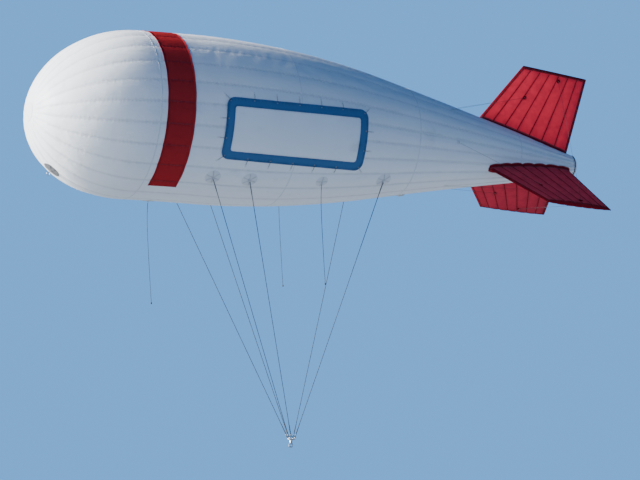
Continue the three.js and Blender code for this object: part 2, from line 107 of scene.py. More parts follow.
# Rigging
SIDES = {"port": 1, "starboard": -1}
CONFLUENCE = np.array([1.875, 0.0, -7.0])
EYE_CIRCLE_RADIUS = 0.068
LINE_RADIUS = 0.008
LINE_LAY = 0.058
EYE_ROPE_RADIUS = 0.0072
EYE_LAY = 0.04
ROPE_STEP = 0.0085
SPLICE_TAPER = (0.36, 0.1)     # metres from an end where a splice starts, and where it is thickest
BOLT_REACH = 0.042
RING_REACH = 0.003
THROAT = 0.055
THIMBLE_HALF_WIDTH = 0.0185
THIMBLE_LENGTH = 0.062
THIMBLE_RADIUS = 0.0031
TWINE_RADIUS = 0.0015
WHIPPING_RADIUS = 0.0128
WHIPPING_TURNS = 13
BRIDLE_PULL = 0.42
PATCH_PULL = 0.2
PATCH_RADIUS = 0.19
PATCH_RING_RADIUS = 0.019
PATCH_RING_WIRE = 0.0038
STRAP_HALF_WIDTH = 0.014
STRAP_THICKNESS = 0.0015
LOOP_HALF_WIDTH = 0.0125
BRIDLES = [("front", 3.98, 135, 205), ("middle", 4.88, 135, 250), ("rear", 8.3, 135, 325)]
NOSE_PATCH_STATION = 0.647
NOSE_PATCH_RADIUS = 0.22
NOSE_RING_OFFSET = 0.1033
HANDLING_DROP = 2.2
HANDLING_RADIUS = 0.006
KNOT_ROPE_RADIUS = 0.0058
KNOT_HALF_LENGTH = 0.0165
HANDLING_SPLICE = 0.0603
HANDLING_LAY = 0.042
HANDLING_PATCH_RADIUS = 0.152
HANDLING_LINES = [("belly", 3.01, 180), ("port", 6.7, 135), ("starboard", 6.7, 225)]
HANDLING_ROUTE = [     # metres aft, metres to starboard, share of the drop
    (0, 0, 0), (0, 0, 0.02), (0.012, 0.002, 0.15), (0.05, 0.005, 0.32),
    (0.1, 0.004, 0.5), (0.152, 0.001, 0.68), (0.203, 0, 0.85), (0.25, 0, 1),
]
GUY_RADIUS = 0.0024
GUY_TIP_PLACE = (0.6, 0.9)         # share of the chord, share of the span
GUY_MIDDLE_PLACE = (0.3, 0.62)
GUY_ANCHOR_STATION = 10.1
GUY_ANCHOR_TURN = 34
VALVE_STATION = 9.2


# Camera: the photo looks at the port side from a little ahead and from below, and the aerostat
# leans towards it. In the hull's own frame that is this view, at the level of the floor.

VIEW_AZIMUTH = -23.5
VIEW_ELEVATION = -3.2
VIEW_ROLL = 3.9
VIEW_DISTANCE = 150.0
EYE_HEIGHT = 1.6
FRAME_ASPECT = 640 / 480
FRAME_MARGIN = 1.09


def add_object(name, data):
    thing = bpy.data.objects.new(name, data)
    bpy.context.scene.collection.objects.link(thing)
    return thing


def make_camera():
    """Frames the whole model, and returns the level of the floor."""
    azimuth, elevation = math.radians(VIEW_AZIMUTH), math.radians(VIEW_ELEVATION)
    back = Vector((
        math.sin(azimuth) * math.cos(elevation),
        -math.cos(azimuth) * math.cos(elevation),
        math.sin(elevation)))
    turn = (-back).to_track_quat("-Z", "Y") @ Quaternion((0, 0, 1), math.radians(VIEW_ROLL))
    right, up = np.array(turn @ Vector((1, 0, 0))), np.array(turn @ Vector((0, 1, 0)))
    spots = np.concatenate([
        np.array([v.co for v in node.data.vertices]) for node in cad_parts.values()])
    across, height = spots @ right, spots @ up
    middle = right * (across.min() + across.max()) / 2 + up * (height.min() + height.max()) / 2
    wide = max(np.ptp(across), np.ptp(height) * FRAME_ASPECT) * FRAME_MARGIN
    camera = bpy.data.cameras.new("camera")
    camera.sensor_width = 36
    camera.lens = camera.sensor_width * VIEW_DISTANCE / wide
    camera.clip_end = 2000
    holder = add_object("camera", camera)
    holder.rotation_mode = "QUATERNION"
    holder.rotation_quaternion = turn
    holder.location = Vector(middle) + back * VIEW_DISTANCE
    bpy.context.scene.camera = holder
    return holder.location.z - EYE_HEIGHT


floor_level = make_camera()


# Vectors and paths

ASKEW = (0.31, 0.52, 0.79)     # a direction that no piece's axis has


def unit(vectors):
    return vectors / np.linalg.norm(vectors, axis=-1, keepdims=True)


def triples(a, b, c):
    """One triple for each point, from three arrays or numbers."""
    return np.stack(np.broadcast_arrays(a, b, c), -1).astype(float)


def runs(path):
    """How far along a path each of its points is."""
    return np.concatenate([[0], np.cumsum(np.linalg.norm(np.diff(path, axis=0), axis=1))])


def square_to(axis):
    """Two directions square to an axis and to each other."""
    first = unit(np.cross(axis, ASKEW))
    return first, np.cross(axis, first)


def whole_turn(count):
    return np.arange(count) / count * 2 * np.pi


def circle(first, second, angle, radius=1.0):
    """Points round the origin, in the plane of two directions."""
    around = first * np.cos(angle)[..., None] + second * np.sin(angle)[..., None]
    return around * np.asarray(radius)[..., None]


def smooth(value, low, high):
    t = np.clip((value - low) / (high - low), 0, 1)
    return t * t * (3 - 2 * t)


def spline_through(points, count):
    """Evenly spaced points on a centripetal curve through the given points."""
    points = np.asarray(points, float)
    ends = np.vstack([2 * points[0] - points[1], points, 2 * points[-1] - points[-2]])
    fine = []
    for four in zip(ends, ends[1:], ends[2:], ends[3:]):
        gaps = [max(np.linalg.norm(b - a), 1e-9) ** 0.5 for a, b in zip(four, four[1:])]
        knots = np.cumsum([0] + gaps)

        def mix(a, b, i, j):
            return ((knots[j] - t) * a + (t - knots[i]) * b) / (knots[j] - knots[i])

        for t in np.linspace(knots[1], knots[2], 24, endpoint=False):
            first = [mix(four[i], four[i + 1], i, i + 1) for i in range(3)]
            second = [mix(first[i], first[i + 1], i, i + 2) for i in range(2)]
            fine.append(mix(*second, 1, 2))
    fine = np.array(fine + [points[-1]])
    along = runs(fine)
    at = np.linspace(0, along[-1], count)
    return np.stack([np.interp(at, along, fine[:, k]) for k in range(3)], 1)


# Hull surface

def hull_radius(station):
    station = np.asarray(station, float)
    nose = HULL_RADIUS * np.sqrt(np.clip(1 - ((NOSE_DEPTH - station) / NOSE_DEPTH) ** 2, 0, 1))
    bend = CONE_SLOPE / 2 / (CONE_START - TAPER_START)
    taper = HULL_RADIUS - bend * (np.minimum(station, CONE_START) - TAPER_START) ** 2
    cone = taper - CONE_SLOPE * np.maximum(0, station - CONE_START)
    return np.where(station < NOSE_DEPTH, nose, np.where(station < TAPER_START, HULL_RADIUS, cone))


def hull_slope(station):
    step = 0.001
    station = np.maximum(station, step)
    return (hull_radius(station + step) - hull_radius(station - step)) / (2 * step)


def sag(station):
    fore = np.maximum(0, NOSE_SAG_START - station) / NOSE_SAG_START
    aft = np.maximum(0, station - TAIL_SAG_START) / (HULL_LENGTH - TAIL_SAG_START)
    return NOSE_SAG * fore ** 2 + TAIL_SAG * aft ** 2


def hull_normal(station, clock):
    around = np.radians(clock)
    return unit(triples(-hull_slope(station), -np.sin(around), np.cos(around)))


def hull_point(station, clock, lift=0.0):
    around, radius = np.radians(clock), hull_radius(station)
    point = triples(station - BUOYANCY_STATION, -radius * np.sin(around),
                    radius * np.cos(around) - sag(station))
    return point + hull_normal(station, clock) * np.asarray(lift)[..., None]


def place_on_hull(station, clock, along, across):
    """The station and clock of a place along (aft) and across (clockwise) from a centre."""
    here = station + along / math.hypot(1, float(hull_slope(station)))
    return here, clock + np.degrees(across / hull_radius(here))


def arc_from(station, clock, start):
    """Metres round the hull from the clock start to another one."""
    return np.radians((clock - start + 180) % 360 - 180) * hull_radius(station)


def gore_cloth(station, clock):
    """Cloth coordinates on the hull: metres aft, metres from the seam, number of the gore."""
    gore = clock / GORE_ANGLE + 0.5
    away = (0.5 - np.abs(gore % 1 - 0.5)) * np.radians(GORE_ANGLE) * hull_radius(station)
    return triples(station, away, np.floor(gore) % GORES)


def lattice_noise(x, y, seed, period):
    """Smooth noise from -1 to 1 that repeats in y after a whole number of steps."""
    table = np.random.default_rng(seed).uniform(-1, 1, (128, period))
    column, row = np.floor(x).astype(int), np.floor(y).astype(int)
    fx, fy = smooth(x - column, 0, 1), smooth(y - row, 0, 1)

    def between_columns(j):
        return (table[column % 128, (row + j) % period] * (1 - fx)
                + table[(column + 1) % 128, (row + j) % period] * fx)

    return between_columns(0) * (1 - fy) + between_columns(1) * fy


def pulls():
    """Where lines pull on the hull, as station, clock and the reach of the pull."""
    for _, station, clock, _ in BRIDLES:
        yield station, clock, BRIDLE_PULL
        yield station, 360 - clock, BRIDLE_PULL
    for _, station, clock in HANDLING_LINES:
        yield station, clock, PATCH_PULL
    yield NOSE_PATCH_STATION, 180, PATCH_PULL


def relief(station, clock):
    """How far the inflated fabric stands off the plain hull: gores, puckers and folds."""
    station, clock = np.broadcast_arrays(np.asarray(station, float), np.asarray(clock, float))
    _, to_seam, gore = np.moveaxis(gore_cloth(station, clock), -1, 0)
    share = np.clip(hull_radius(station) / HULL_RADIUS, 0, 1)
    inside = (clock / GORE_ANGLE + 0.5) % 1 - 0.5
    lift = GORE_DEPTH * share * (np.cos(np.pi * inside) ** 0.75 - 1)

    # Swells and ripples, stronger where the fabric is slack, and puckers along each seam
    turn = clock / 360
    slack = 0.35 + 0.65 * smooth(station, 7.5, 12.5) + 0.25 * smooth(station, 2.6, 0.8)
    slack = slack * smooth(station, 0.0, 0.12)
    lift += 0.0026 * slack * lattice_noise(station * 1.1, turn * 22, 3, 22)
    lift += 0.0017 * slack * lattice_noise(station * 3.1 + 7, turn * 46, 5, 46)
    pucker = np.sin(station * 2 * np.pi / 0.19 + gore * 2.4 + 2 * np.sin(station * 1.3 + gore))
    lift += 0.0019 * share * np.exp(-(to_seam / 0.075) ** 2) * pucker

    # A slack fold along each shoulder
    ripple = np.sin(2 * np.pi * station / 1.05 + 1.6 * np.sin(station * 1.9))
    ends = smooth(station, 3.3, 4.1) * smooth(station, 10.4, 8.6)
    for side in SIDES.values():
        arc = arc_from(station, clock, side * (SHOULDER_FOLD_CLOCK - 1.5 * (station - 3.6)))
        cross = np.sin(2 * np.pi * (station / 0.48 + side * arc / 0.7) + 1.2 * ripple)
        lift += ends * (np.exp(-((arc + 0.07 * ripple) / 0.16) ** 2) * (0.005 * ripple - 0.012)
                        + 0.0028 * np.exp(-(arc / 0.3) ** 2) * cross)

    # Loose folds towards the tail
    tail = smooth(station, 9.8, 13.3)
    lift += 0.0045 * tail * np.sin(np.radians(clock) * 17 + 3 * np.sin(station * 0.9))
    lift += 0.003 * tail * lattice_noise(station * 2.2, turn * 34, 8, 34)
    # A swell at each patch, and folds that fan out from it
    for where, pull_clock, reach in pulls():
        arc, ahead = arc_from(station, clock, pull_clock), station - where
        away = np.hypot(arc, ahead)
        fan = np.cos(9 * np.arctan2(arc, ahead) + 0.7) * smooth(away, 0.12, 0.3)
        lift += 0.011 * reach / BRIDLE_PULL * np.exp(-(away / (0.62 * reach)) ** 2)
        lift += 0.0036 * np.exp(-(away / (1.5 * reach)) ** 1.5) * fan
    return np.minimum(lift + CREST, HIGHEST_RELIEF)


def skin(station, clock, lift=0.0):
    """A point on the inflated fabric, lifted off it."""
    return hull_point(station, clock, relief(station, clock) + lift)


# Meshes

NO_SEAM = 1.0     # added to cloth coordinates where no seam is near


class Build:
    """One mesh in the making. Each point has cloth coordinates, which its material reads:
    metres along, metres from the nearest seam, and the number of its panel. On a rope the second
    one is how far a point is out of the groove between two strands, from 0 to 1."""

    def __init__(self):
        self.points, self.cloth, self.faces, self.count = [], [], [], 0

    def add(self, points, faces, cloth):
        points = np.asarray(points, float).reshape(-1, 3)
        self.faces += [tuple(i + self.count for i in face) for face in faces]
        self.points.append(points)
        self.cloth.append(np.broadcast_to(np.asarray(cloth, float).reshape(-1, 3), points.shape))
        self.count += len(points)

    def grid(self, points, cloth, wrap=False, caps=False):
        """Rows of points. wrap joins each row's last point to its first, and caps close the ends."""
        index = np.arange(points.shape[0] * points.shape[1]).reshape(points.shape[:2])
        ring = np.hstack([index, index[:, :1]]) if wrap else index
        faces = np.stack([ring[:-1, :-1], ring[:-1, 1:], ring[1:, 1:], ring[1:, :-1]], -1)
        faces = faces.reshape(-1, 4).tolist()
        if caps:
            faces += [index[0].tolist(), index[-1, ::-1].tolist()]
        self.add(points, faces, cloth)

    def slab(self, top, bottom, cloth, wrap=False):
        """A closed sheet between two grids. wrap joins the last row to the first."""
        if wrap:
            top, bottom, cloth = (np.concatenate([part, part[:1]]) for part in (top, bottom, cloth))
        self.grid(np.concatenate([top, bottom[:, ::-1]], 1),
                  np.concatenate([cloth, cloth[:, ::-1]], 1), wrap=True)
        for row in () if wrap else (0, -1):
            self.grid(np.stack([top[row], bottom[row]]), np.stack([cloth[row], cloth[row]]))

    def strip(self, lines, cloth):
        """A closed bar through lines of points, which lie side by side round its section."""
        self.grid(np.stack(lines, 1), np.stack(cloth, 1), wrap=True, caps=True)

    def tube(self, path, radius, sides=12, closed=False, strands=0, pitch=0.0, groove=0.1):
        """A round bar along a path. strands, pitch and groove make it a laid rope."""
        path = np.asarray(path, float)
        ahead = np.roll(path, -1, 0) - path
        if not closed:
            ahead[-1] = ahead[-2]
        ahead = unit(ahead)
        behind = np.roll(ahead, 1, 0)
        if not closed:
            behind[0] = ahead[0]
        tangent = unit(ahead + behind)
        side = np.cross(tangent[0], ASKEW)
        sidelong = []
        for t in tangent:
            side = unit(side - t * (side @ t))
            sidelong.append(side)
        sidelong = np.array(sidelong)
        upward = np.cross(tangent, sidelong)
        along, angle = runs(path)[:, None], whole_turn(sides)
        crest = np.ones((len(path), sides))
        radius = np.broadcast_to(radius, len(path))[:, None] * crest
        if strands:
            crest = np.abs(np.cos(strands * (angle / 2 - np.pi * along / pitch)))
            radius = radius * (1 - groove + groove * crest ** 0.7)
        points = path[:, None] + circle(sidelong[:, None], upward[:, None], angle, radius)
        cloth = triples(along, crest, 0)
        if closed:
            points, cloth = (np.concatenate([part, part[:1]]) for part in (points, cloth))
        self.grid(points, cloth, wrap=True, caps=not closed)

    def ring(self, centre, first, second, radius, wire, sides, count=28):
        """A ring of wire, in the plane of two directions."""
        self.tube(centre + circle(first, second, whole_turn(count), radius), wire, sides, closed=True)

    def lathe(self, profile, origin, axis, sides=48):
        """A closed body turned from (radius, height) points about an axis."""
        axis = unit(axis)
        angle = whole_turn(sides)
        radii, heights = np.array(profile, float).T[..., None]
        radii = np.maximum(radii, 1e-5)
        rings = origin + axis * heights[..., None] + circle(*square_to(axis), angle, radii)
        cloth = triples(radii * np.cos(angle), radii * np.sin(angle) + NO_SEAM, 0)
        self.grid(rings, cloth, wrap=True, caps=True)

    def make(self, name, material, slot, replaces=(), body="aerostat", crease=38):
        """The finished piece on its body. Edges sharper than crease, in degrees, stay sharp."""
        mesh = bpy.data.meshes.new(name)
        mesh.from_pydata(np.concatenate(self.points).tolist(), [], self.faces)
        mesh.validate()
        cloth = mesh.attributes.new("cloth", "FLOAT_VECTOR", "POINT")
        cloth.data.foreach_set("vector", np.concatenate(self.cloth).astype(np.float32).ravel())
        mesh.materials.append(material)
        work = bmesh.new()
        work.from_mesh(mesh)
        bmesh.ops.remove_doubles(work, verts=work.verts, dist=1e-6)
        bmesh.ops.dissolve_degenerate(work, edges=work.edges, dist=1e-7)
        bmesh.ops.recalc_face_normals(work, faces=work.faces)
        work.to_mesh(mesh)
        work.free()
        mesh.polygons.foreach_set("use_smooth", [True] * len(mesh.polygons))
        mesh.set_sharp_from_angle(angle=math.radians(crease))
        piece = add_object(name, mesh)
        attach(piece, body)
        if replaces:
            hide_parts(*replaces)
        return piece


# Materials

class Nodes:
    """Adds nodes to a tree. A socket is fed with a number, a tuple or another node's output."""

    def __init__(self, tree):
        self.tree = tree

    def feed(self, value, socket):
        if isinstance(value, bpy.types.NodeSocket):
            self.tree.links.new(value, socket)
        else:
            socket.default_value = (*value, 1.0) if socket.type == "RGBA" else value

    def node(self, kind, inputs, **settings):
        """A new node's outputs."""
        node = self.tree.nodes.new(f"ShaderNode{kind}")
        for key, value in settings.items():
            setattr(node, key, value)
        for key, value in inputs.items():
            self.feed(value, node.inputs[key])
        return node.outputs

    def math(self, operation, a, b=0.0, clamp=False):
        return self.node("Math", {0: a, 1: b}, operation=operation, use_clamp=clamp)[0]

    def times(self, a, b):
        return self.math("MULTIPLY", a, b)

    def size(self, value):
        return self.math("ABSOLUTE", value)

    def zigzag(self, value, step):
        return self.math("PINGPONG", value, step)

    def waves(self, value, length):
        return self.math("SINE", self.times(value, 2 * math.pi / length))

    def spread(self, value, low, high, to_low=0.0, to_high=1.0):
        """Goes smoothly from to_low to to_high while the value goes from low to high."""
        return self.node("MapRange", {
            "Value": value, "From Min": low, "From Max": high, "To Min": to_low, "To Max": to_high},
            interpolation_type="SMOOTHSTEP")["Result"]

    def noise(self, vector, scale, detail=3.0, roughness=0.5, distortion=0.0):
        return self.node("TexNoise", {
            "Vector": vector, "Scale": scale, "Detail": detail, "Roughness": roughness,
            "Distortion": distortion})["Fac"]

    def blend(self, share, a, b):
        return self.node("Mix", {0: share, 6: a, 7: b}, data_type="RGBA")[2]


class Paint(Nodes):
    """A material in the making, with one shader and the nodes that feed it."""

    def __init__(self, name, **sockets):
        self.material = bpy.data.materials.new(name)
        self.material.use_nodes = True
        super().__init__(self.material.node_tree)
        self.shader = self.tree.nodes["Principled BSDF"]
        self.use(**sockets)

    def use(self, **sockets):
        """Feeds the shader's sockets and returns the material."""
        for socket, value in sockets.items():
            self.feed(value, self.shader.inputs[socket.replace("_", " ")])
        return self.material

    def cloth(self):
        return self.node("SeparateXYZ", {0: self.node("Attribute", {}, attribute_name="cloth")["Vector"]})

    def place(self, stretch=None):
        spot = self.node("TexCoord", {})["Object"]
        if stretch:
            spot = self.node("VectorMath", {0: spot, 1: stretch}, operation="MULTIPLY")[0]
        return spot

    def relief(self, *layers):
        """A normal from layers of (height, depth in metres), the broadest first."""
        normal = None
        for height, depth in layers:
            inputs = {"Height": height, "Distance": depth}
            if normal is not None:
                inputs["Normal"] = normal
            normal = self.node("Bump", inputs)["Normal"]
        return normal

    def let_light_through(self, colour, normal):
        """Mixes in a shader that passes light from the far side."""
        through = self.node("BsdfTranslucent", {"Color": colour, "Normal": normal})
        mixed = self.node("MixShader", {0: 0.5, 1: self.shader.outputs[0], 2: through[0]})
        self.feed(mixed[0], self.tree.nodes["Material Output"].inputs["Surface"])


def coated_fabric(name, base, worn, grime, rough, sheen=0.08, wrinkle=0.006, gloss=0.05, glow=None):
    """Coated ripstop: a fine grid of threads, puckers along the seams, soft creases and grime.
    glow is the colour of the light that thin fabric lets through."""
    paint = Paint(name, Specular_IOR_Level=5.6 * gloss, Sheen_Weight=sheen, Sheen_Roughness=0.4,
                  Coat_Weight=gloss, Coat_Roughness=0.35)
    along, seam, panel = paint.cloth()
    spot = paint.place()
    to_seam = paint.size(seam)
    near = paint.spread(to_seam, 0.0, 0.06, 1.0, 0.0)
    broad = paint.noise(spot, 0.55, 5.0, 0.6)
    patchy = paint.noise(spot, 3.3, 6.0, 0.62, 0.4)
    streaks = paint.noise(paint.place((0.35, 2.6, 0.9)), 2.1, 4.0, 0.6)
    tone = paint.spread(paint.math("SINE", paint.times(panel, 12.9898)), -1.0, 1.0, 0.0, 0.5)
    worn_share = paint.math("ADD", paint.spread(broad, 0.35, 0.75, 0.0, 0.7), tone, clamp=True)
    soiled = paint.times(paint.spread(streaks, 0.52, 0.8), paint.spread(patchy, 0.4, 0.7))
    edge = paint.times(near, paint.spread(patchy, 0.3, 0.7, 0.1, 0.5))
    colour = paint.blend(worn_share, base, worn)
    colour = paint.blend(paint.math("ADD", paint.times(soiled, 0.5), edge, clamp=True), colour, grime)
    threads = paint.math("MAXIMUM", *(
        paint.spread(paint.zigzag(across, 0.004), 0.0, 0.0011, 1.0, 0.0) for across in (along, to_seam)))
    folds = paint.noise(spot, 6.0, 3.0, 0.5, 0.3)
    normal = paint.relief(
        (paint.noise(paint.place((0.6, 1.5, 1.5)), 1.3, 3.0, 0.5, 0.2), wrinkle * 4),
        (folds, wrinkle * 0.55),
        (paint.times(paint.waves(along, 0.085), near), 0.0022),
        (paint.math("ADD", threads, paint.noise(spot, 900.0, 2.0)), 0.00022))
    if glow:
        dim = tuple(0.62 * part for part in glow)
        share = paint.math("ADD", paint.spread(folds, 0.35, 0.7, 0.0, 0.45), edge, clamp=True)
        paint.let_light_through(paint.blend(share, glow, dim), normal)
    roughness = paint.spread(patchy, 0.25, 0.8, rough - 0.07, rough + 0.12)
    return paint.use(Base_Color=colour, Roughness=roughness, Normal=normal)


def tape_fabric(name, base, grime, half_width, thread=(0.55, 0.57, 0.6)):
    """Sewn tape: two rows of stitches and a coarse weave across."""
    paint = Paint(name, Specular_IOR_Level=0.0)
    along, across, _ = paint.cloth()
    to_row = paint.size(paint.math("SUBTRACT", paint.size(across), half_width * 0.68))
    dash = paint.spread(paint.zigzag(along, 0.0032), 0.0004, 0.0012)
    stitch = paint.times(paint.spread(to_row, 0.0007, 0.0016, 1.0, 0.0), dash)
    patchy = paint.noise(paint.place(), 6.0, 5.0, 0.6)
    colour = paint.blend(paint.spread(patchy, 0.4, 0.8, 0.0, 0.45), base, grime)
    ribbed = paint.math("ADD", stitch, paint.times(paint.waves(along, 0.0016), 0.15))
    return paint.use(
        Base_Color=paint.blend(stitch, colour, thread),
        Roughness=paint.spread(patchy, 0.3, 0.8, 0.45, 0.62),
        Normal=paint.relief((patchy, 0.002), (ribbed, 0.0006)))


def webbing_fabric(name, base, worn):
    """Woven webbing: a herringbone of thick threads, fluffed at the edges."""
    paint = Paint(name, Specular_IOR_Level=0.3, Sheen_Weight=0.2)
    along, across, _ = paint.cloth()
    spot = paint.place()
    ribs = paint.waves(paint.math("ADD", along, paint.zigzag(across, 0.006)), 0.003)
    patchy = paint.noise(spot, 18.0, 5.0, 0.6)
    colour = paint.blend(paint.spread(patchy, 0.35, 0.75), base, worn)
    return paint.use(
        Base_Color=paint.blend(paint.spread(ribs, -0.2, 1.0, 0.0, 0.35), colour, worn),
        Roughness=paint.spread(patchy, 0.3, 0.8, 0.7, 0.9),
        Normal=paint.relief((ribs, 0.0007), (paint.noise(spot, 260.0, 3.0, 0.7), 0.0006)))


def rope_fibre(name, base, worn):
    """Rope: fibres that run along each strand, and painted shade that darkens the grooves."""
    paint = Paint(name, Specular_IOR_Level=0.3, Sheen_Weight=0.1)
    along, crest, _ = paint.cloth()
    spot = paint.place()
    lay = paint.node("CombineXYZ", {0: paint.times(along, 80.0), 1: paint.times(crest, 22.0)})[0]
    fibres = paint.noise(lay, 1.0, 3.0, 0.65)
    patchy = paint.noise(spot, 8.0, 5.0, 0.6)
    colour = paint.blend(paint.spread(patchy, 0.35, 0.75), base, worn)
    colour = paint.blend(paint.spread(fibres, 0.45, 0.75, 0.0, 0.6), colour, worn)
    # Painted shade: the grooves between the strands are darkened towards near black.
    colour = paint.blend(paint.spread(crest, 0.0, 0.6, 0.75, 0.0), colour, (0.02, 0.021, 0.024))
    return paint.use(
        Base_Color=colour, Roughness=paint.spread(patchy, 0.3, 0.8, 0.65, 0.88),
        Normal=paint.relief((crest, 0.0015), (fibres, 0.0009), (paint.noise(spot, 700.0, 2.0, 0.6), 0.0003)))


def worn_metal(name, base, dull, rough):
    """Machined metal: fine turning marks, scuffs, and a dull film in places."""
    paint = Paint(name, Metallic=1.0, Specular_IOR_Level=0.5)
    film = paint.noise(paint.place(), 90.0, 5.0, 0.7)
    marks = paint.noise(paint.place((30, 30, 1500)), 1.0, 3.0, 0.6)
    scuffs = paint.noise(paint.place((1, 5, 1)), 260.0, 3.0, 0.7, 0.6)
    colour = paint.blend(paint.spread(film, 0.35, 0.75), base, dull)
    return paint.use(
        Base_Color=paint.blend(paint.spread(scuffs, 0.6, 0.8, 0.0, 0.5), colour, (0.62, 0.63, 0.65)),
        Roughness=paint.math("ADD", paint.spread(film, 0.3, 0.8, rough - 0.04, rough + 0.08),
                             paint.spread(marks, 0.3, 0.7, 0.0, 0.06)),
        Normal=paint.relief((marks, 0.00012), (scuffs, 0.00012)))


def moulded_plastic(name, base, worn):
    """Moulded plastic: a fine grain, and patches that weather has dulled."""
    paint = Paint(name, Specular_IOR_Level=0.5)
    spot = paint.place()
    patchy = paint.noise(spot, 14.0, 5.0, 0.6)
    return paint.use(
        Base_Color=paint.blend(paint.spread(patchy, 0.4, 0.75), base, worn),
        Roughness=paint.spread(patchy, 0.3, 0.8, 0.38, 0.6),
        Normal=paint.relief((paint.noise(spot, 700.0, 2.0, 0.6), 0.0002), (patchy, 0.001)))


def fin_cloth(name, glow):
    return coated_fabric(name, (0.36, 0.048, 0.074), (0.3, 0.04, 0.062), (0.12, 0.014, 0.02), 0.68,
                         sheen=0.0, gloss=0.0, glow=glow)


HULL_WHITE = coated_fabric("hull_white", (0.86, 0.885, 0.91), (0.79, 0.82, 0.85), (0.5, 0.52, 0.53), 0.5)
BAND_RED = coated_fabric("band_red", (0.39, 0.025, 0.029), (0.33, 0.022, 0.026), (0.15, 0.011, 0.014),
                         0.66, sheen=0.0, gloss=0.0, wrinkle=0.004)
BANNER_BLUE = coated_fabric("banner_blue", (0.044, 0.138, 0.3), (0.05, 0.155, 0.32), (0.02, 0.06, 0.12),
                            0.48, sheen=0.02, gloss=0.012, wrinkle=0.003)
BANNER_WHITE = coated_fabric("banner_white", (0.87, 0.91, 0.93), (0.82, 0.86, 0.89), (0.5, 0.53, 0.57),
                             0.5, wrinkle=0.003)
PATCH_WHITE = coated_fabric("patch_white", (0.74, 0.76, 0.78), (0.66, 0.68, 0.7), (0.4, 0.41, 0.42),
                            0.55, wrinkle=0.001)
# The photo shows less light through the starboard fin than through the others.
# The three fins are of one cloth. Their copies differ only in how much light they let through, which sets
# how bright each fin looks; the starboard copy's weaker glow is painted shade.
FIN_RED = {"top": fin_cloth("fin_red_top", (1.0, 0.19, 0.27)),
           "port": fin_cloth("fin_red_port", (1.0, 0.3, 0.42)),
           "starboard": fin_cloth("fin_red_starboard_painted_shade", (0.7, 0.17, 0.24))}
TAPE_WHITE = tape_fabric("tape_white", (0.74, 0.76, 0.79), (0.5, 0.52, 0.54), 0.018)
TAPE_RED = tape_fabric("tape_red", (0.23, 0.01, 0.018), (0.11, 0.01, 0.014), 0.014, (0.42, 0.16, 0.17))
WEBBING_PALE = webbing_fabric("webbing_pale", (0.62, 0.64, 0.66), (0.52, 0.54, 0.56))
WEBBING_DARK = webbing_fabric("webbing_dark", (0.06, 0.064, 0.072), (0.11, 0.115, 0.125))
ROPE_GREY = rope_fibre("rope_grey", (0.035, 0.038, 0.044), (0.07, 0.073, 0.08))
TWINE_LIGHT = rope_fibre("twine_light", (0.34, 0.34, 0.33), (0.24, 0.24, 0.24))
STEEL = worn_metal("steel", (0.5, 0.51, 0.53), (0.4, 0.405, 0.415), 0.34)
VALVE_PLASTIC = moulded_plastic("valve_plastic", (0.62, 0.65, 0.67), (0.5, 0.52, 0.53))


# Handling lines.

def knot_path(centre, direction):
    """A stopper knot: the rope winds three times round its own end."""
    share = np.linspace(-1, 1, 72)
    coil = circle(*square_to(direction), 3 * np.pi * (share + 1), 0.0108 - 0.002 * share ** 2)
    return centre + direction * KNOT_HALF_LENGTH * share[:, None] + coil


def make_handling_line(name, station, clock):
    start = hull_point(station, clock) - (0, 0, HANDLING_SPLICE)
    path = spline_through(start + np.array(HANDLING_ROUTE) * (1, 1, -HANDLING_DROP), 360)
    line, knot = Build(), Build()
    line.tube(path, HANDLING_RADIUS, strands=3, pitch=HANDLING_LAY)
    piece = line.make(f"handling_rope_{name}", ROPE_GREY, "rope", [f"handling_line_{name}"])
    ahead = unit(path[-1] - path[-2])
    centre = path[-1] + ahead * 0.0263
    knot.tube(knot_path(centre, ahead), KNOT_ROPE_RADIUS, strands=3, pitch=HANDLING_LAY)
    knot.tube([centre - ahead * 0.0255, centre - ahead * 0.01, centre + ahead * 0.025],
              [HANDLING_RADIUS, 0.0056, KNOT_ROPE_RADIUS])
    end = knot.make(f"handling_stopper_{name}", ROPE_GREY, "rope", [f"handling_knot_{name}"])
    length = float(runs(path)[-1])


for line in HANDLING_LINES:
    make_handling_line(*line)


# Hull fabric

GORE_COLUMNS = np.array([-0.5, -0.465, -0.39, -0.28, -0.14, 0, 0.14, 0.28, 0.39, 0.465])
HULL_CLOCKS = (np.arange(GORES)[:, None] + GORE_COLUMNS).ravel() * GORE_ANGLE
HULL_STATIONS = np.concatenate([
    NOSE_DEPTH * (1 - np.cos(np.linspace(0.012, np.pi / 2, 62))),
    np.linspace(NOSE_DEPTH, MOUTH_STATION, 286)[1:]])
TAPE_SECTION = [(-0.018, -0.002), (-0.0165, 0.0012), (-0.006, 0.0016), (0.006, 0.0016),
                (0.0165, 0.0012), (0.018, -0.002)]     # sideways, lift


def make_hull():
    station, clock = np.meshgrid(HULL_STATIONS, HULL_CLOCKS, indexing="ij")
    points, cloth = skin(station, clock), gore_cloth(station, clock)
    rim, middle = points[-1], points[-1].mean(0)
    inner = [rim * 0.86 + middle * 0.14 - (0.02, 0, 0), rim * 0.3 + middle * 0.7 - (0.03, 0, 0)]
    hull = Build()
    hull.grid(np.concatenate([points, inner]), np.concatenate([cloth, cloth[-1:], cloth[-1:]]),
              wrap=True, caps=True)
    hull.make("hull_fabric", HULL_WHITE, "hull_fabric", ["envelope"], crease=60)


def lay_tape(build, stations, clocks, section):
    """A closed strip along a line on the fabric. A section point is (sideways, lift), and lies on
    the fabric beside the line."""
    middle = hull_point(stations, clocks)
    x, y, z = np.cross(hull_normal(stations, clocks), unit(np.gradient(middle, axis=0))).T
    turn = np.radians(clocks)
    to_aft = x / np.hypot(1, hull_slope(stations))
    to_clock = np.degrees(-(y * np.cos(turn) + z * np.sin(turn)) / hull_radius(stations))
    build.strip([skin(stations + to_aft * aside, clocks + to_clock * aside, lift)
                 for aside, lift in section],
                [triples(runs(middle), aside, 0) for aside, _ in section])


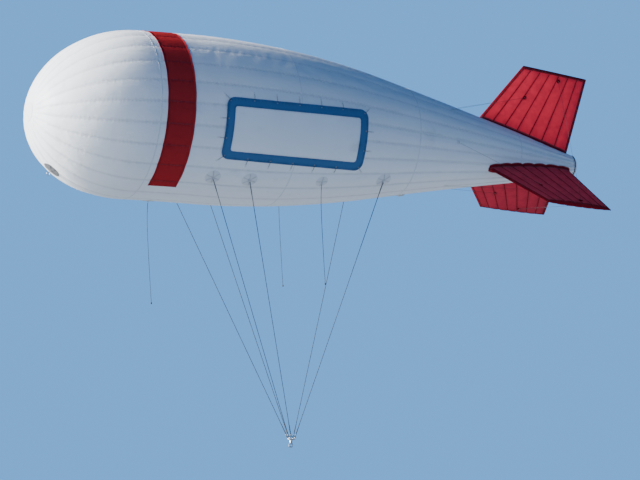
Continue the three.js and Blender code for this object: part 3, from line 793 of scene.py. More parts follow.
def lay_seam_tapes(build, gores, stations, section):
    for gore in gores:
        lay_tape(build, stations, np.full_like(stations, (gore + 0.5) * GORE_ANGLE), section)


def make_seams():
    seams, hoops = Build(), Build()
    inside = (HULL_STATIONS > 0.19) & (HULL_STATIONS < MOUTH_STATION - 0.01)
    lay_seam_tapes(seams, range(GORES), HULL_STATIONS[inside], TAPE_SECTION)
    seams.make("hull_seam_tapes", TAPE_WHITE, "hull_fabric")
    clocks = np.append(HULL_CLOCKS, HULL_CLOCKS[0] + 360)
    section = [(aside * 0.8, lift * 1.6) for aside, lift in TAPE_SECTION]
    for station in HOOP_STATIONS:
        lay_tape(hoops, np.full_like(clocks, station), clocks, section)
    hoops.make("hull_hoop_tapes", TAPE_WHITE, "hull_fabric")


def make_nose_cap():
    """The round reinforcement where the gores meet at the nose."""
    reach = np.array([0.0, 0.05, 0.11, 0.17, 0.2, 0.214, 0.216])
    lift = np.array([0.0045, 0.0045, 0.004, 0.004, 0.0055, 0.005, 0.001])
    station = np.maximum(NOSE_DEPTH * (1 - np.sqrt(1 - (reach / HULL_RADIUS) ** 2)), 1e-5)
    angle = whole_turn(96)[:, None]
    clock = np.degrees(angle)
    cap = Build()
    cap.slab(skin(station, clock, lift), skin(station, clock, -0.002),
             triples(reach * np.cos(angle), reach * np.sin(angle) + NO_SEAM, 0), wrap=True)
    cap.make("nose_cap", PATCH_WHITE, "hull_fabric")


def make_band():
    """The red wrap, with a hem along both edges and across both ends."""
    clocks = (np.arange(-GORES, GORES)[:, None] + GORE_COLUMNS).ravel() * GORE_ANGLE
    clocks = clocks[np.abs(clocks) < BAND_END_CLOCK - 1.2]
    ends = BAND_END_CLOCK - np.array([0, 0.08, 0.9])
    clocks = np.concatenate([-ends, clocks, ends[::-1]])
    hem = np.array([0, 0.002, 0.026, 0.029])
    stations = BAND_START + np.concatenate([
        hem, np.linspace(0.07, BAND_WIDTH - 0.07, 13), BAND_WIDTH - hem[::-1]])
    thick = np.full(len(stations), 0.0035)
    thick[[1, 2, -3, -2]] = 0.0056
    thick[[0, -1]] = 0.004
    clock, station = np.meshgrid(clocks, stations, indexing="ij")
    cloth = gore_cloth(station, clock)
    edge = np.minimum(station - BAND_START, BAND_START + BAND_WIDTH - station)
    cloth[..., 1] = np.minimum(cloth[..., 1], np.abs(edge - BAND_HEM))
    band, trim = Build(), Build()
    band.slab(skin(station, clock, thick), skin(station, clock, 0.0008), cloth)
    band = band.make("red_wrap", BAND_RED, "red_fabric", ["red_band"])
    lay_seam_tapes(trim, range(-10, 10), np.linspace(0.03, BAND_WIDTH - 0.03, 14) + BAND_START,
                   [(aside * 0.78, lift * 1.1 + 0.0028) for aside, lift in TAPE_SECTION])
    trim.make("red_wrap_tapes", TAPE_RED, "red_fabric")


make_hull()
make_seams()
make_nose_cap()
make_band()


# Tail closure

def make_tail_closure():
    """The filling mouth, gathered and lashed over a disc."""
    pleats, windings = 36, 3
    mouth = MOUTH_STATION - BUOYANCY_STATION
    radius, centre_z = float(hull_radius(MOUTH_STATION)), -float(sag(MOUTH_STATION))
    profile = [     # share of the mouth's radius, metres aft, share of the pleats' depth
        (1.0, 0.0, 0.0), (1.012, 0.012, 0.3), (0.99, 0.03, 0.7), (0.955, 0.05, 1.0),
        (0.88, 0.082, 1.0), (0.72, 0.112, 0.9), (0.52, 0.132, 0.7), (0.34, 0.142, 0.5),
        (0.3, 0.136, 0.2), (0.1, 0.139, 0.0), (0.001, 0.141, 0.0)]
    share, aft, fold = np.array(profile).T[..., None]
    angle = whole_turn(pleats * 6)
    ripple = 0.05 * fold * (0.5 - 0.5 * np.cos(pleats * angle)) * (0.8 + 0.2 * np.sin(5 * angle))
    ring = radius * share * (1 - ripple)
    gather, lashing, plate = Build(), Build(), Build()
    gather.grid(triples(mouth + 0.001 + aft, -ring * np.sin(angle),
                        ring * np.cos(angle) + centre_z - aft * 0.06),
                triples(aft, radius * share * np.abs(np.sin(pleats * angle / 2)) / pleats, 0),
                wrap=True, caps=True)
    gather.make("tail_gather", HULL_WHITE, "hull_fabric", ["tail_cap"], crease=70)
    turns = np.linspace(0, windings * 2 * np.pi, windings * 72)
    ring = radius * 0.985 + 0.0015
    lashing.tube(triples(mouth + 0.026 + 0.0085 * turns / (2 * np.pi), -ring * np.sin(turns),
                         ring * np.cos(turns) + centre_z), 0.0042, 8, strands=3, pitch=0.03)
    lashing.make("tail_lashing", ROPE_GREY, "rope")
    plate.lathe([(0.06, -0.01), (0.062, -0.004), (0.058, 0.0), (0.02, 0.002), (0.012, 0.006),
                 (0.0, 0.0065)], (mouth + 0.141, 0, centre_z - 0.008), (1, 0, -0.06), 40)
    plate.make("tail_disc", STEEL, "metal")


make_tail_closure()


# Fins

FIN_COLUMNS = np.array([0, 0.03, 0.08, 0.16, 0.28, 0.42, 0.58, 0.72, 0.84, 0.92, 0.97])
BINDING_SHARES = np.array([0.0, 0.12, 0.4, 0.75, 0.96, 1.0])
BINDING_LIFTS = np.array([0.0022, 0.0026, 0.0028, 0.0028, 0.0034, 0.0008])
NEAR_EDGE = 0.0005


def fin_frame(clock):
    """The outward and the sideways direction of a fin."""
    around = math.radians(clock)
    out = np.array([0, -math.sin(around), math.cos(around)])
    return out, np.cross(out, (1, 0, 0))


def fin_plane(chord, span):
    """Station and height above the axis of a place on a fin's middle plane."""
    leading = FIN_ROOT_LEADING + (FIN_TIP_LEADING - FIN_ROOT_LEADING) * span
    trailing = FIN_ROOT_TRAILING + (FIN_TIP_TRAILING - FIN_ROOT_TRAILING) * span
    height = FIN_ROOT_RADIUS + FIN_HEIGHT * span
    return leading + (trailing - leading) * chord, height - FIN_TIP_RAKE * span * chord


def fin_root(chord, depth=0.03):
    """The span at which a chord line comes out of the hull."""
    inner, outer = np.zeros_like(chord), np.ones_like(chord)
    for _ in range(30):
        middle = (inner + outer) / 2
        station, height = fin_plane(chord, middle)
        hidden = height < hull_radius(station) - depth
        inner, outer = np.where(hidden, middle, inner), np.where(hidden, outer, middle)
    return (inner + outer) / 2


def fin_half(chord, span):
    """Half the thickness of the inflated fin, with a valley at each rib."""
    base = FIN_ROOT_HALF_THICKNESS + (FIN_TIP_HALF_THICKNESS - FIN_ROOT_HALF_THICKNESS) * span
    section = np.clip(4 * chord * (1 - chord), 0, 1) ** 0.42
    last = 1 - FIN_TIP_HALF_THICKNESS * 1.25 / FIN_HEIGHT
    tip = np.sqrt(np.clip(1 - (np.clip(span - last, 0, 1) / (1 - last)) ** 2, 0, 1))
    cell = np.abs(np.sin(np.pi * FIN_CELLS * chord)) ** 0.5
    crinkle = 1 + 0.035 * np.sin(span * 47 + 5 * np.sin(chord * 9)) * (1 - cell)
    return base * section * tip * (0.7 + 0.3 * cell) * crinkle


def fin_points(clock, chord, span, side):
    """Points on a face of a fin, whose side is 1 or -1, or on its middle plane, where it is 0."""
    station, height = fin_plane(chord, span)
    out, sideways = fin_frame(clock)
    half = fin_half(chord, span) * side
    middle = triples(station - BUOYANCY_STATION, 0, -sag(station))
    return middle + out * np.asarray(height)[..., None] + sideways * np.asarray(half)[..., None]


def lay_fin_strip(build, clock, chord, span, side):
    """Doubled fabric on one face of a fin. Each row runs from the free edge inwards."""
    face, sideways = fin_points(clock, chord, span, side), fin_frame(clock)[1] * side
    cloth = triples(runs(face[:, 0])[:, None], (BINDING_SHARES - 1) * BINDING_WIDTH + 0.02, 0)
    build.slab(face + sideways * BINDING_LIFTS[:, None], face - sideways * 0.001, cloth)


def lay_binding(build, clock):
    """Piping round a fin's free edges, and a strip of doubled fabric beside it on both faces."""
    lead, trail = (np.linspace(float(fin_root(chord, 0.0)), 0.992, 46) for chord in (0.001, 0.999))
    tip = np.linspace(0.004, 0.996, 40)
    edges = [(0, s) for s in lead] + [(c, 1) for c in tip] + [(1, s) for s in trail[::-1]]
    build.tube(fin_points(clock, *np.array(edges).T, 0), PIPING_RADIUS, 8)
    reach = BINDING_SHARES * BINDING_WIDTH
    for side in (1, -1):
        for spans, edge, inward in ((lead[:, None], 0, 1), (trail[:, None], 1, -1)):
            chord_length = fin_plane(1, spans)[0] - fin_plane(0, spans)[0]
            chord = np.clip(edge + inward * reach / chord_length, NEAR_EDGE, 1 - NEAR_EDGE)
            lay_fin_strip(build, clock, chord, spans, side)
        lay_fin_strip(build, clock, tip[:, None], np.minimum(1 - reach / FIN_HEIGHT, 1 - NEAR_EDGE), side)


def lay_rib_tape(build, clock, rib):
    """The tape over a rib, on both faces of a fin."""
    middle = rib / FIN_CELLS
    spans = np.linspace(float(fin_root(middle, -0.012)), 0.962, 56)
    section = [(-1, -0.0002), (-0.8, 0.003), (0.8, 0.003), (1, -0.0002)]
    for side in (1, -1):
        sideways = fin_frame(clock)[1] * side
        build.strip([fin_points(clock, middle + aside * RIB_TAPE_HALF_WIDTH / FIN_CHORD, spans, side)
                     + sideways * lift for aside, lift in section],
                    [triples(spans * FIN_HEIGHT, aside * RIB_TAPE_HALF_WIDTH, 0) for aside, _ in section])


def lay_root_skirt(build, clock, side):
    """The fabric flange that joins one face of a fin to the hull. Side 1 faces lower clocks."""
    chords = np.linspace(0.004, 0.996, 90)
    spans = fin_root(chords, 0.0)
    station, _ = fin_plane(chords, spans)
    radius = hull_radius(station)
    turn, wing = np.degrees(fin_half(chords, spans) / radius), np.degrees(SKIRT_WIDTH / radius)
    sideways = fin_frame(clock)[1] * side
    on_fin = [(0.028, 0.001), (0.027, 0.0035)]     # span above the root, lift
    on_hull = [(0.16, 0.011), (0.4, 0.0055), (1, 0.0035), (1.05, -0.001), (-0.3, -0.002)]
    build.strip([fin_points(clock, chords, spans + above, side) + sideways * lift
                 for above, lift in on_fin]
                + [skin(station, clock - side * (turn + share * wing), lift) for share, lift in on_hull],
                [triples(station, aside, 0)
                 for aside in (-0.0145, -0.012, 0.0, 0.004, 0.011, 0.0145, 0.0)])


def make_fin(name, clock):
    chords = np.append((np.arange(FIN_CELLS)[:, None] + FIN_COLUMNS).ravel() / FIN_CELLS, 1.0)
    chords = np.clip(chords, NEAR_EDGE, 1 - NEAR_EDGE)
    chord, side = np.concatenate([chords, chords[::-1]]), np.repeat([1, -1], len(chords))
    spans = np.concatenate([
        np.linspace(0, 0.93, 52), [0.945, 0.96, 0.972, 0.982, 0.99, 0.996, 1 - NEAR_EDGE]])
    root = fin_root(chord)
    span = root + (1 - root) * spans[:, None]
    to_rib = np.abs((chord * FIN_CELLS + 0.5) % 1 - 0.5) / FIN_CELLS * 2.2
    bag, trim, skirt = Build(), Build(), Build()
    bag.grid(fin_points(clock, chord, span, side),
             triples(span * FIN_HEIGHT, to_rib, np.floor(chord * FIN_CELLS) + clock), wrap=True, caps=True)
    bag.make(f"fin_bag_{name}", FIN_RED[name], "red_fabric", [f"fin_{name}"], crease=70)
    lay_binding(trim, clock)
    for rib in range(1, FIN_CELLS):
        lay_rib_tape(trim, clock, rib)
    trim.make(f"fin_trim_{name}", TAPE_RED, "red_fabric")
    for side in (1, -1):
        lay_root_skirt(skirt, clock, side)
    skirt.make(f"fin_skirt_{name}", TAPE_RED, "red_fabric", crease=50)


for fin in FINS.items():
    make_fin(*fin)


# Banners

def rounded_loop(length, height, corner, steps):
    """Points round a rectangle with round corners, the same number for any size."""
    arcs = []
    for index, (x, y) in enumerate([(1, 1), (-1, 1), (-1, -1), (1, -1)]):
        turn = np.radians(np.linspace(0, 90, 7) + 90 * index)
        arcs.append(np.stack([x * (length / 2 - corner) + corner * np.cos(turn),
                              y * (height / 2 - corner) + corner * np.sin(turn)], 1))
    loop = []
    for index, arc in enumerate(arcs):
        side = np.linspace(arc[-1], arcs[(index + 1) % 4][0], steps[index % 2], endpoint=False)
        loop += [arc, side[1:]]
    return np.concatenate(loop)


def banner_lift(along, across):
    """The banner lies over the gores and is slack between its ties."""
    edge = np.minimum(BANNER_LENGTH / 2 - np.abs(along), BANNER_HEIGHT / 2 - np.abs(across))
    near = np.exp(-np.clip(edge, 0, 1) / 0.12)
    scallop = 0.0035 * np.sin(along * 2 * np.pi / 0.62 + 0.6) * np.sin(across * 2 * np.pi / 0.5 + 1.0)
    drape = 0.0028 * np.sin(2 * np.pi * (along * 0.9 + across * 0.55)) * np.cos(across * 2.6)
    return 0.0115 + near * scallop + drape


def banner_points(side, along, across, lift):
    station, clock = place_on_hull(BANNER_STATION, BANNER_CLOCK, along, across)
    return hull_point(station, side * clock, banner_lift(along, across) + lift)


def banner_ties():
    """Each tie's grommet on the border and the way the tie runs out from it: x, y, out_x, out_y."""
    half_length, half_height = BANNER_LENGTH / 2, BANNER_HEIGHT / 2
    for way in (-1, 1):
        for x in np.linspace(-1, 1, 7)[1:-1] * (half_length - 0.11):
            yield x, way * (half_height - 0.05), 0.0, 0.15 * way
    for aft in (-1, 1):
        for y in (-0.22, 0.22):
            yield aft * (half_length - 0.05), y, 0.15 * aft, 0.0
        for up in (-1, 1):
            yield aft * (half_length - 0.09), up * (half_height - 0.09), 0.12 * aft, 0.12 * up


def lay_border(build, side):
    outer = rounded_loop(BANNER_LENGTH, BANNER_HEIGHT, BANNER_CORNER, (90, 36))
    inset = 2 * (BORDER_WIDTH + PANEL_GAP)
    inner = rounded_loop(BANNER_LENGTH - inset, BANNER_HEIGHT - inset, PANEL_CORNER, (90, 36))
    shares = np.array([0, 0.008, 0.14, 0.16, 0.4, 0.7, 0.95, 1.0])
    lifts = np.array([0.0005, 0.0034, 0.0034, 0.0018, 0.0018, 0.0018, 0.0018, 0.0008])
    spots = outer[:, None] * (1 - shares[:, None]) + inner[:, None] * shares[:, None]
    run = runs(outer)[:, None]
    cloth = triples(np.abs(run - run[-1] / 2),
                    np.minimum(np.abs(shares - 0.13), 1 - shares) * BORDER_WIDTH, 1)
    along, across = spots[..., 0], spots[..., 1]
    build.slab(banner_points(side, along, across, lifts), banner_points(side, along, across, 0.0002),
               cloth, wrap=True)


def lay_tie(grommets, ties, tabs, side, x, y, out_x, out_y):
    """A grommet in the border, two cords from it, and the tab on the hull that they end on."""
    ring = whole_turn(20)
    grommets.tube(banner_points(side, x + GROMMET_RADIUS * np.cos(ring), y + GROMMET_RADIUS * np.sin(ring),
                                0.0042), GROMMET_WIRE, 8, closed=True)
    share = np.linspace(0, 1, 12)
    lift = 0.006 + 0.004 * np.sin(np.pi * share) - 0.010 * share ** 2
    for gap in (-TIE_GAP, TIE_GAP):
        spread = gap * (0.4 + share)
        ties.tube(banner_points(side, x + out_x * share + spread * np.sign(out_y or 1),
                                y + out_y * share - spread * np.sign(out_x or 1), lift), TIE_RADIUS, 6)
    aft, up = unit((out_x, out_y))
    a, b = np.meshgrid(np.linspace(0, TAB_LENGTH, 6), np.linspace(-TAB_HALF_WIDTH, TAB_HALF_WIDTH, 5),
                       indexing="ij")
    spot = place_on_hull(BANNER_STATION, BANNER_CLOCK, x + out_x * 0.93 + aft * a - up * b,
                         y + out_y * 0.93 + up * a + aft * b)
    spot = spot[0], side * spot[1]
    tabs.slab(skin(*spot, 0.003), skin(*spot, -0.001), triples(a, b + NO_SEAM, 0))


def make_banner(name, side):
    width, height = BANNER_LENGTH - 2 * BORDER_WIDTH, BANNER_HEIGHT - 2 * BORDER_WIDTH
    along, across = np.meshgrid(np.linspace(-width / 2, width / 2, 97),
                                np.linspace(-height / 2, height / 2, 37), indexing="ij")
    edge = np.minimum(width / 2 - np.abs(along), height / 2 - np.abs(across))
    panel, border, grommets, ties, tabs = Build(), Build(), Build(), Build(), Build()
    panel.slab(banner_points(side, along, across, 0.0), banner_points(side, along, across, -0.0016),
               triples(along, edge, 0))
    panel = panel.make(f"banner_cloth_{name}", BANNER_WHITE, "banner_fabric", [f"banner_{name}"])
    lay_border(border, side)
    border = border.make(f"banner_edge_{name}", BANNER_BLUE, "blue_fabric", [f"banner_border_{name}"])
    for tie in banner_ties():
        lay_tie(grommets, ties, tabs, side, *tie)
    grommets = grommets.make(f"banner_grommets_{name}", STEEL, "metal")
    ties = ties.make(f"banner_ties_{name}", ROPE_GREY, "rope")
    tabs.make(f"banner_tabs_{name}", PATCH_WHITE, "hull_fabric")


for banner in SIDES.items():
    make_banner(*banner)


# Load patches and lines

def lay_disc(build, station, clock, radius, base, thick):
    """A disc of fabric on the hull, with a stitched rim."""
    rings = radius * np.concatenate([[0.001], np.linspace(0.11, 0.88, 8), [0.93, 0.985, 1.0]])
    lifts = base + thick * np.concatenate([np.ones(9), [1.25, 1.2, 0.2]])
    angle = whole_turn(64)[:, None]
    along, across = rings * np.cos(angle), rings * np.sin(angle)
    spot = place_on_hull(station, clock, along, across)
    build.slab(skin(*spot, lifts), skin(*spot, base - 0.002),
               triples(along, across + NO_SEAM, radius * 50), wrap=True)


def lay_strap(build, station, clock, radius, turn, base):
    """A strap of webbing sewn across a patch."""
    steps = np.linspace(-radius, radius, 26)
    lines, cloth = [], []
    for share, lift in ((-1, -0.001), (-0.9, 0.002), (0.9, 0.002), (1, -0.001)):
        aside = share * STRAP_HALF_WIDTH
        spot = place_on_hull(station, clock, steps * math.cos(turn) - aside * math.sin(turn),
                             steps * math.sin(turn) + aside * math.cos(turn))
        lines.append(skin(*spot, base + lift))
        cloth.append(triples(steps, aside, 0))
    build.strip(lines, cloth)


def lay_loop(build, root, direction, across):
    """A loop of webbing that stands on a patch and holds its ring."""
    other = unit(np.cross(across, direction))
    half = [(0.03, -0.006), (0.016, 0.004), (0.007, 0.02)]
    legs = [(-a, b) for a, b in half] + [(0, 0.031)] + half[::-1]
    legs = spline_through([root + other * a + direction * b for a, b in legs], 30)
    outward = np.cross(unit(np.gradient(legs, axis=0)), across)
    section = [(-1, -0.0013), (-1, 0.0013), (1, 0.0013), (1, -0.0013)]
    build.strip([legs + across * aside * LOOP_HALF_WIDTH + outward * lift for aside, lift in section],
                [triples(np.linspace(0, 0.09, 30), aside * LOOP_HALF_WIDTH, 0) for aside, _ in section])


def make_patch(name, node, station, clock, radius, direction, straps, dark=False):
    """A load patch: two discs of fabric, straps sewn across them and a loop that holds a ring.
    Returns where the ring's far side is, and the direction across it."""
    direction = unit(direction)
    thick = 0.004 if dark else 0.0022
    base = thick + 0.0023
    slot = "mooring_webbing" if dark else "patch_webbing"
    discs, web, ring = Build(), Build(), Build()
    lay_disc(discs, station, clock, radius, 0.0, thick)
    lay_disc(discs, station, clock, radius * 0.6, thick, 0.0018)
    discs.make(f"{name}_discs", WEBBING_DARK if dark else PATCH_WHITE, slot)
    for index, turn in enumerate(straps):
        lay_strap(web, station, clock, radius * 0.9, math.radians(turn), base + STRAP_THICKNESS * index)
    root = skin(station, clock, base + STRAP_THICKNESS)
    across = np.cross(direction, hull_normal(station, clock))
    if np.linalg.norm(across) < 0.2:
        across = np.cross(direction, (1, 0, 0))
    across = unit(across)
    lay_loop(web, root, direction, across)
    web.make(f"{name}_webbing", WEBBING_DARK if dark else WEBBING_PALE, slot, [node])
    centre = root + direction * (0.028 + PATCH_RING_RADIUS * 0.5)
    ring.ring(centre, across, direction, PATCH_RING_RADIUS, PATCH_RING_WIRE, 10)
    ring.make(f"{name}_ring", STEEL, "metal")
    return centre + direction * PATCH_RING_RADIUS, across


def lay_rope(build, start, end):
    """A laid rope between two points, thicker where its ends are spliced back into it."""
    long = np.linalg.norm(end - start)
    along = np.linspace(0, long, int(long / ROPE_STEP))
    swell = 1 + 0.5 * smooth(np.minimum(along, long - along), *SPLICE_TAPER)
    build.tube(start + unit(end - start) * along[:, None], LINE_RADIUS * swell, strands=3, pitch=LINE_LAY,
               groove=0.24)


def eye_path(near, away, across, inset=0.0):
    """A teardrop loop. near is its bearing point and away points down the rope."""
    half = [(1, 0.189), (0.72, 0.3), (0.42, 0.84), (0.2, 1), (0.05, 0.72)]
    half = [(a * THIMBLE_LENGTH, b * THIMBLE_HALF_WIDTH) for a, b in half]
    loop = half + [(0, 0)] + [(a, -b) for a, b in half[::-1]]
    points = spline_through([near + away * a + across * b for a, b in loop], 44)
    return points - unit(points - near - away * 0.25 * THIMBLE_LENGTH) * inset


def lay_spliced_eye(rope, metal, twine, near, away, across):
    """An eye round a steel thimble, with its throat whipped with twine."""
    rope.tube(eye_path(near, away, across), EYE_ROPE_RADIUS, 18, strands=3, pitch=EYE_LAY, groove=0.3)
    metal.tube(eye_path(near, away, across, 2 * THIMBLE_RADIUS)[4:-4], THIMBLE_RADIUS, 8)
    angle = np.linspace(0, WHIPPING_TURNS * 2 * np.pi, WHIPPING_TURNS * 14)
    climb = THIMBLE_LENGTH - 0.012 + 0.0027 * angle / (2 * np.pi)
    coil = circle(across, np.cross(away, across), angle, WHIPPING_RADIUS)
    twine.tube(near + away * climb[:, None] + coil, TWINE_RADIUS, 5)


def bridle_lines():
    """Each line's name, the station and clock of its patch, its eye at the plate and the way down."""
    for side_name, side in SIDES.items():
        for row, station, clock, eye_angle in BRIDLES:
            around = math.radians(eye_angle)
            eye = CONFLUENCE + EYE_CIRCLE_RADIUS * np.array([math.cos(around), side * math.sin(around), 0])
            yield (f"{row}_{side_name}", station, side * clock, eye,
                   unit(eye - hull_point(station, side * clock)))


def make_bridles():
    for name, station, clock, eye, down in bridle_lines():
        tip, across = make_patch(f"load_patch_{name}", f"patch_{name}", station, clock, PATCH_RADIUS,
                                 down, (20, 80, 140))
        top, foot = tip - down * RING_REACH, eye - down * BOLT_REACH
        rope, metal, twine = Build(), Build(), Build()
        lay_spliced_eye(rope, metal, twine, top, down, unit(np.cross(down, across)))
        lay_rope(rope, top + down * THROAT, foot - down * THROAT)
        lay_spliced_eye(rope, metal, twine, foot, -down, across)
        rope.make(f"bridle_rope_{name}", ROPE_GREY, "rope", [f"bridle_{name}"], crease=80)
        metal.make(f"thimbles_{name}", STEEL, "metal")
        twine.make(f"whipping_{name}", TWINE_LIGHT, "rope")


make_bridles()
for line_name, line_station, line_clock in HANDLING_LINES:
    make_patch(f"line_patch_{line_name}", f"handling_patch_{line_name}", line_station, line_clock,
               HANDLING_PATCH_RADIUS, (0, 0, -1), (0, 90))
nose_out = hull_normal(NOSE_PATCH_STATION, 180)
make_patch("mooring_patch", "nose_patch", NOSE_PATCH_STATION, 180, NOSE_PATCH_RADIUS, nose_out,
           (0, 45, 90, 135), dark=True)


# Confluence plate and swivel

UP = (0, 0, 1)
SWIVEL_TOP = CONFLUENCE + (0, 0, -0.0073)
LUG_CORNER_X = 0.045
LUG_HEIGHT = 0.105
LUG_HOLE_RADIUS = 0.024


def make_plate():
    """The plate, and at each line an eye bolt with its washer and nut."""
    plate = Build()
    plate.lathe([(0.0, -0.007), (0.09, -0.007), (0.0935, -0.0055), (0.095, -0.003), (0.095, 0.003),
                 (0.0935, 0.0055), (0.09, 0.007), (0.034, 0.007), (0.031, 0.0105), (0.024, 0.012),
                 (0.0, 0.012)], CONFLUENCE, UP, 72)
    for _, _, _, eye, down in bridle_lines():
        plate.lathe([(0.0, 0.0), (0.0065, 0.0), (0.0065, 0.026), (0.0, 0.026)], eye, -down, 16)
        plate.lathe([(0.0, 0.006), (0.0145, 0.0065), (0.0145, 0.009), (0.0105, 0.0115), (0.0, 0.012)],
                    eye, -down, 24)
        plate.lathe([(0.0, -0.0065), (0.0125, -0.0068), (0.0125, -0.0085), (0.0, -0.0086)], eye, UP, 24)
        plate.lathe([(0.0, -0.0085), (0.0098, -0.0086), (0.0105, -0.0095), (0.0105, -0.0155),
                     (0.0098, -0.0165), (0.0, -0.0166)], eye, UP, 6)
        plate.ring(eye - down * 0.037, unit(np.cross(-down, (1, 0, 0))), -down, 0.0135, 0.0048, 12)
    plate.make("rigging_plate", STEEL, "metal", ["confluence_plate"], crease=30)


def make_swivel_body():
    body = Build()
    body.lathe([(0.0, 0.0), (0.0325, 0.0), (0.034, -0.0015), (0.034, -0.009), (0.0318, -0.0115),
                (0.031, -0.014), (0.031, -0.052), (0.0318, -0.0545), (0.034, -0.057), (0.034, -0.068),
                (0.0325, -0.07), (0.014, -0.07), (0.0132, -0.069), (0.0132, -0.059), (0.0, -0.0588)],
               SWIVEL_TOP, UP, 64)
    for turn in whole_turn(6) + np.radians(30):
        body.lathe([(0.0, 0.001), (0.0046, 0.0005), (0.0048, -0.0035), (0.0042, -0.0045),
                    (0.002, -0.0045), (0.002, -0.003), (0.0, -0.003)],
                   SWIVEL_TOP + (0.025 * math.cos(turn), 0.025 * math.sin(turn), -0.0695), UP, 18)
    body.make("swivel_body", STEEL, "metal", ["swivel_housing"], crease=30)


def lug_mesh(top):
    """The eye's flat lug, with round corners, a round hole and eased edges, standing in XZ."""
    bottom, hole_z = top - LUG_HEIGHT, top - LUG_HEIGHT / 2
    outline = []
    for way, z, radius, begin in ((-1, top, 0.021, 90), (-1, bottom, 0.02, 180),
                                  (1, bottom, 0.02, 270), (1, top, 0.021, 0)):
        centre_z = z + (radius if z == bottom else -radius)
        for turn in np.radians(np.linspace(begin, begin + 90, 9)):
            outline.append((way * (LUG_CORNER_X - radius) + radius * math.cos(turn),
                            centre_z + radius * math.sin(turn)))
    inset = [(x * 0.956, hole_z + (z - hole_z) * 0.96) for x, z in outline]
    hole = [(LUG_HOLE_RADIUS * math.cos(t), hole_z + LUG_HOLE_RADIUS * math.sin(t)) for t in whole_turn(40)]
    curve = bpy.data.curves.new("lug_outline", "CURVE")
    curve.dimensions = "2D"
    curve.fill_mode = "BOTH"
    curve.extrude = 0.007
    curve.bevel_depth = 0.002
    curve.bevel_resolution = 2
    for ring in (inset, hole):
        spline = curve.splines.new("POLY")
        spline.points.add(len(ring) - 1)
        for point, (x, z) in zip(spline.points, ring):
            point.co = (x, z, 0, 1)
        spline.use_cyclic_u = True
    holder = add_object("lug_outline", curve)
    bpy.context.view_layer.update()
    flat = bpy.data.meshes.new_from_object(holder.evaluated_get(bpy.context.evaluated_depsgraph_get()))
    bpy.data.objects.remove(holder)
    x, z, y = np.array([v.co for v in flat.vertices]).T
    return triples(x + CONFLUENCE[0], -y, z), [tuple(p.vertices) for p in flat.polygons]


def make_swivel_eye():
    """The spindle's collar and the lug that a tether's shackle goes through."""
    low = SWIVEL_TOP[2] - 0.076
    lug = Build()
    lug.lathe([(0.0, low + 0.018), (0.012, low + 0.018), (0.012, low), (0.0195, low),
               (0.022, low - 0.0015), (0.022, low - 0.0068), (0.0205, low - 0.008), (0.0, low - 0.008)],
              CONFLUENCE * (1, 0, 0), UP)
    lug.add(*lug_mesh(low - 0.004), (0, 0, 0))
    lug.make("swivel_lug", STEEL, "metal", ["swivel_eye"], body="tether_swivel", crease=30)


make_plate()
make_swivel_body()
make_swivel_eye()


# Nose ring and valve

def make_nose_ring():
    centre = hull_point(NOSE_PATCH_STATION, 180) + nose_out * NOSE_RING_OFFSET
    ring = Build()
    ring.ring(centre, np.array((1, 0, 0)), np.array(UP), 0.036, 0.007, 16, count=56)
    ring.make("mooring_ring", STEEL, "metal", ["nose_ring"])


def make_valve():
    """The relief valve: a bolted flange and a slotted dome."""
    origin, out = hull_point(VALVE_STATION, 180), hull_normal(VALVE_STATION, 180)
    valve = Build()
    valve.lathe([(0.0, -0.014), (0.095, -0.014), (0.095, 0.0075), (0.0925, 0.01), (0.079, 0.01),
                 (0.0755, 0.0125), (0.07, 0.0135), (0.07, 0.026), (0.066, 0.0318), (0.058, 0.034),
                 (0.05, 0.0335), (0.047, 0.0295), (0.03, 0.0285), (0.026, 0.031), (0.018, 0.034),
                 (0.0, 0.034)], origin, out, 96)
    first = np.array((0, 1, 0))
    second = np.cross(out, first)
    for radial in circle(first, second, whole_turn(16)):
        valve.lathe([(0.0, 0.009), (0.0048, 0.0098), (0.005, 0.0128), (0.0042, 0.0138), (0.0, 0.0138)],
                    origin + 0.0868 * radial, out, 6)
    for radial in circle(first, second, whole_turn(24) + np.pi / 24):
        spot = origin + radial * 0.0705 + out * 0.0135
        valve.tube([spot, spot + out * 0.009, spot + out * 0.0115 - radial * 0.001], 0.0022, 8)
    valve.make("belly_valve", VALVE_PLASTIC, "valve_plastic", ["relief_valve"], crease=30)


make_nose_ring()
make_valve()


# Fin guys: thin taut lines between the fins' tips, and from each fin forward to the hull.

def lay_anchor(patches, rings, spot, out, toward):
    """A small round patch with a ring, which a guy line is tied to. Returns the ring's far side."""
    patches.lathe([(0.0, -0.006), (0.045, -0.006), (0.046, 0.0005), (0.044, 0.0022), (0.022, 0.003),
                   (0.02, 0.0045), (0.0, 0.0048)], spot, out, 28)
    ahead = unit(toward - spot)
    ahead = unit(ahead - out * (ahead @ out) * 0.5)
    middle = spot + out * 0.009 + ahead * 0.012
    second = unit(np.cross(ahead, np.cross(out, ahead)) + 0.3 * out)
    rings.ring(middle, ahead, second, 0.011, 0.0024, 8, count=20)
    return middle + ahead * 0.011


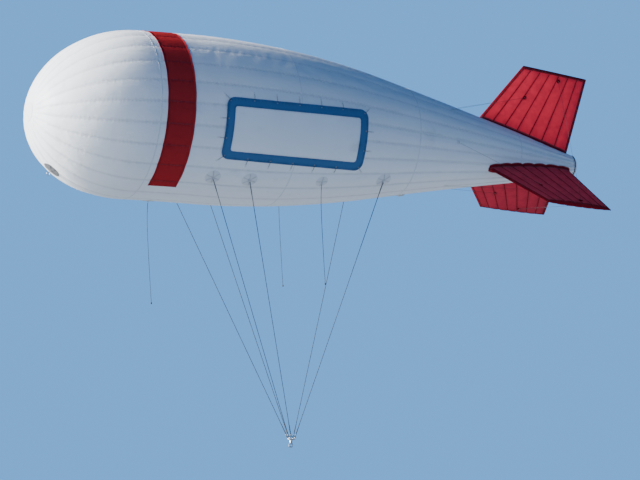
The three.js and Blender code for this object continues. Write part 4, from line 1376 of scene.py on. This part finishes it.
def make_guys():
    guys, rings, on_fins, on_hull = Build(), Build(), Build(), Build()
    clocks = list(FINS.values())
    for clock, following in zip(clocks, clocks[1:] + clocks[:1]):
        faces = []
        for here, other in ((clock, following), (following, clock)):
            side = 1 if fin_frame(here)[1] @ fin_frame(other)[0] > 0 else -1
            faces.append((fin_points(here, *GUY_TIP_PLACE, side), fin_frame(here)[1] * side))
        (start, start_out), (end, end_out) = faces
        guys.tube(np.linspace(lay_anchor(on_fins, rings, start, start_out, end),
                              lay_anchor(on_fins, rings, end, end_out, start), 40), GUY_RADIUS, 6)
        for side in (1, -1):
            top = fin_points(clock, *GUY_MIDDLE_PLACE, side)
            place = GUY_ANCHOR_STATION, clock - side * GUY_ANCHOR_TURN
            foot = skin(*place)
            guys.tube(np.linspace(lay_anchor(on_fins, rings, top, fin_frame(clock)[1] * side, foot),
                                  lay_anchor(on_hull, rings, foot, hull_normal(*place), top), 30),
                      GUY_RADIUS, 6)
    guys.make("fin_guys", ROPE_GREY, "rope")
    rings.make("fin_guy_rings", STEEL, "metal")
    on_fins.make("fin_guy_patches", TAPE_RED, "red_fabric")
    on_hull.make("hull_guy_patches", PATCH_WHITE, "patch_webbing")


make_guys()


# Stage and light

FLOOR_HALF_SIZE = 900.0
FLOOR_TONES = (0.29, 0.325, 0.365), (0.305, 0.34, 0.38)
BACKDROP_LOW = (0.16, 0.485, 1.07)
BACKDROP_HIGH = (0.02, 0.078, 0.23)


def make_floor():
    paint = Paint("floor_pale", Roughness=0.9, Specular_IOR_Level=0.2)
    spot = paint.place()
    paint.use(Base_Color=paint.blend(paint.spread(paint.noise(spot, 0.05, 4.0), 0.3, 0.7), *FLOOR_TONES),
              Normal=paint.relief((paint.noise(spot, 3.0, 4.0), 0.002)))
    mesh = bpy.data.meshes.new("floor")
    corners = [(-1, -1), (1, -1), (1, 1), (-1, 1)]
    mesh.from_pydata([(x * FLOOR_HALF_SIZE, y * FLOOR_HALF_SIZE, floor_level) for x, y in corners],
                     [], [(0, 1, 2, 3)])
    mesh.materials.append(paint.material)
    floor = add_object("floor", mesh)


def make_backdrop():
    """A pale blue surround that deepens overhead."""
    world = bpy.data.worlds.new("studio")
    bpy.context.scene.world = world
    world.use_nodes = True
    sky = Nodes(world.node_tree)
    height = sky.node("SeparateXYZ", {0: sky.node("TexCoord", {})["Generated"]})["Z"]
    tone = sky.blend(sky.spread(height, 0.06, 0.55), BACKDROP_LOW, BACKDROP_HIGH)
    sky.feed(tone, world.node_tree.nodes["Background"].inputs["Color"])


def make_light(name, toward, strength, softness, colour):
    """A soft distant light. toward points from the object to the light."""
    lamp = bpy.data.lights.new(name, "SUN")
    lamp.energy = strength
    lamp.angle = math.radians(softness)
    lamp.color = colour
    holder = add_object(name, lamp)
    holder.rotation_mode = "QUATERNION"
    holder.rotation_quaternion = Vector(toward).to_track_quat("Z", "Y")


make_floor()
make_backdrop()
make_light("key", (-0.9, 0.37, 0.27), 17.0, 18, (1.0, 0.98, 0.95))
make_light("front", (-1.0, 0.0, 0.02), 4.4, 25, (1.0, 1.0, 1.0))

for name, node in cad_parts.items():
    if not node.hide_render:
        print("CAD node left showing:", name)
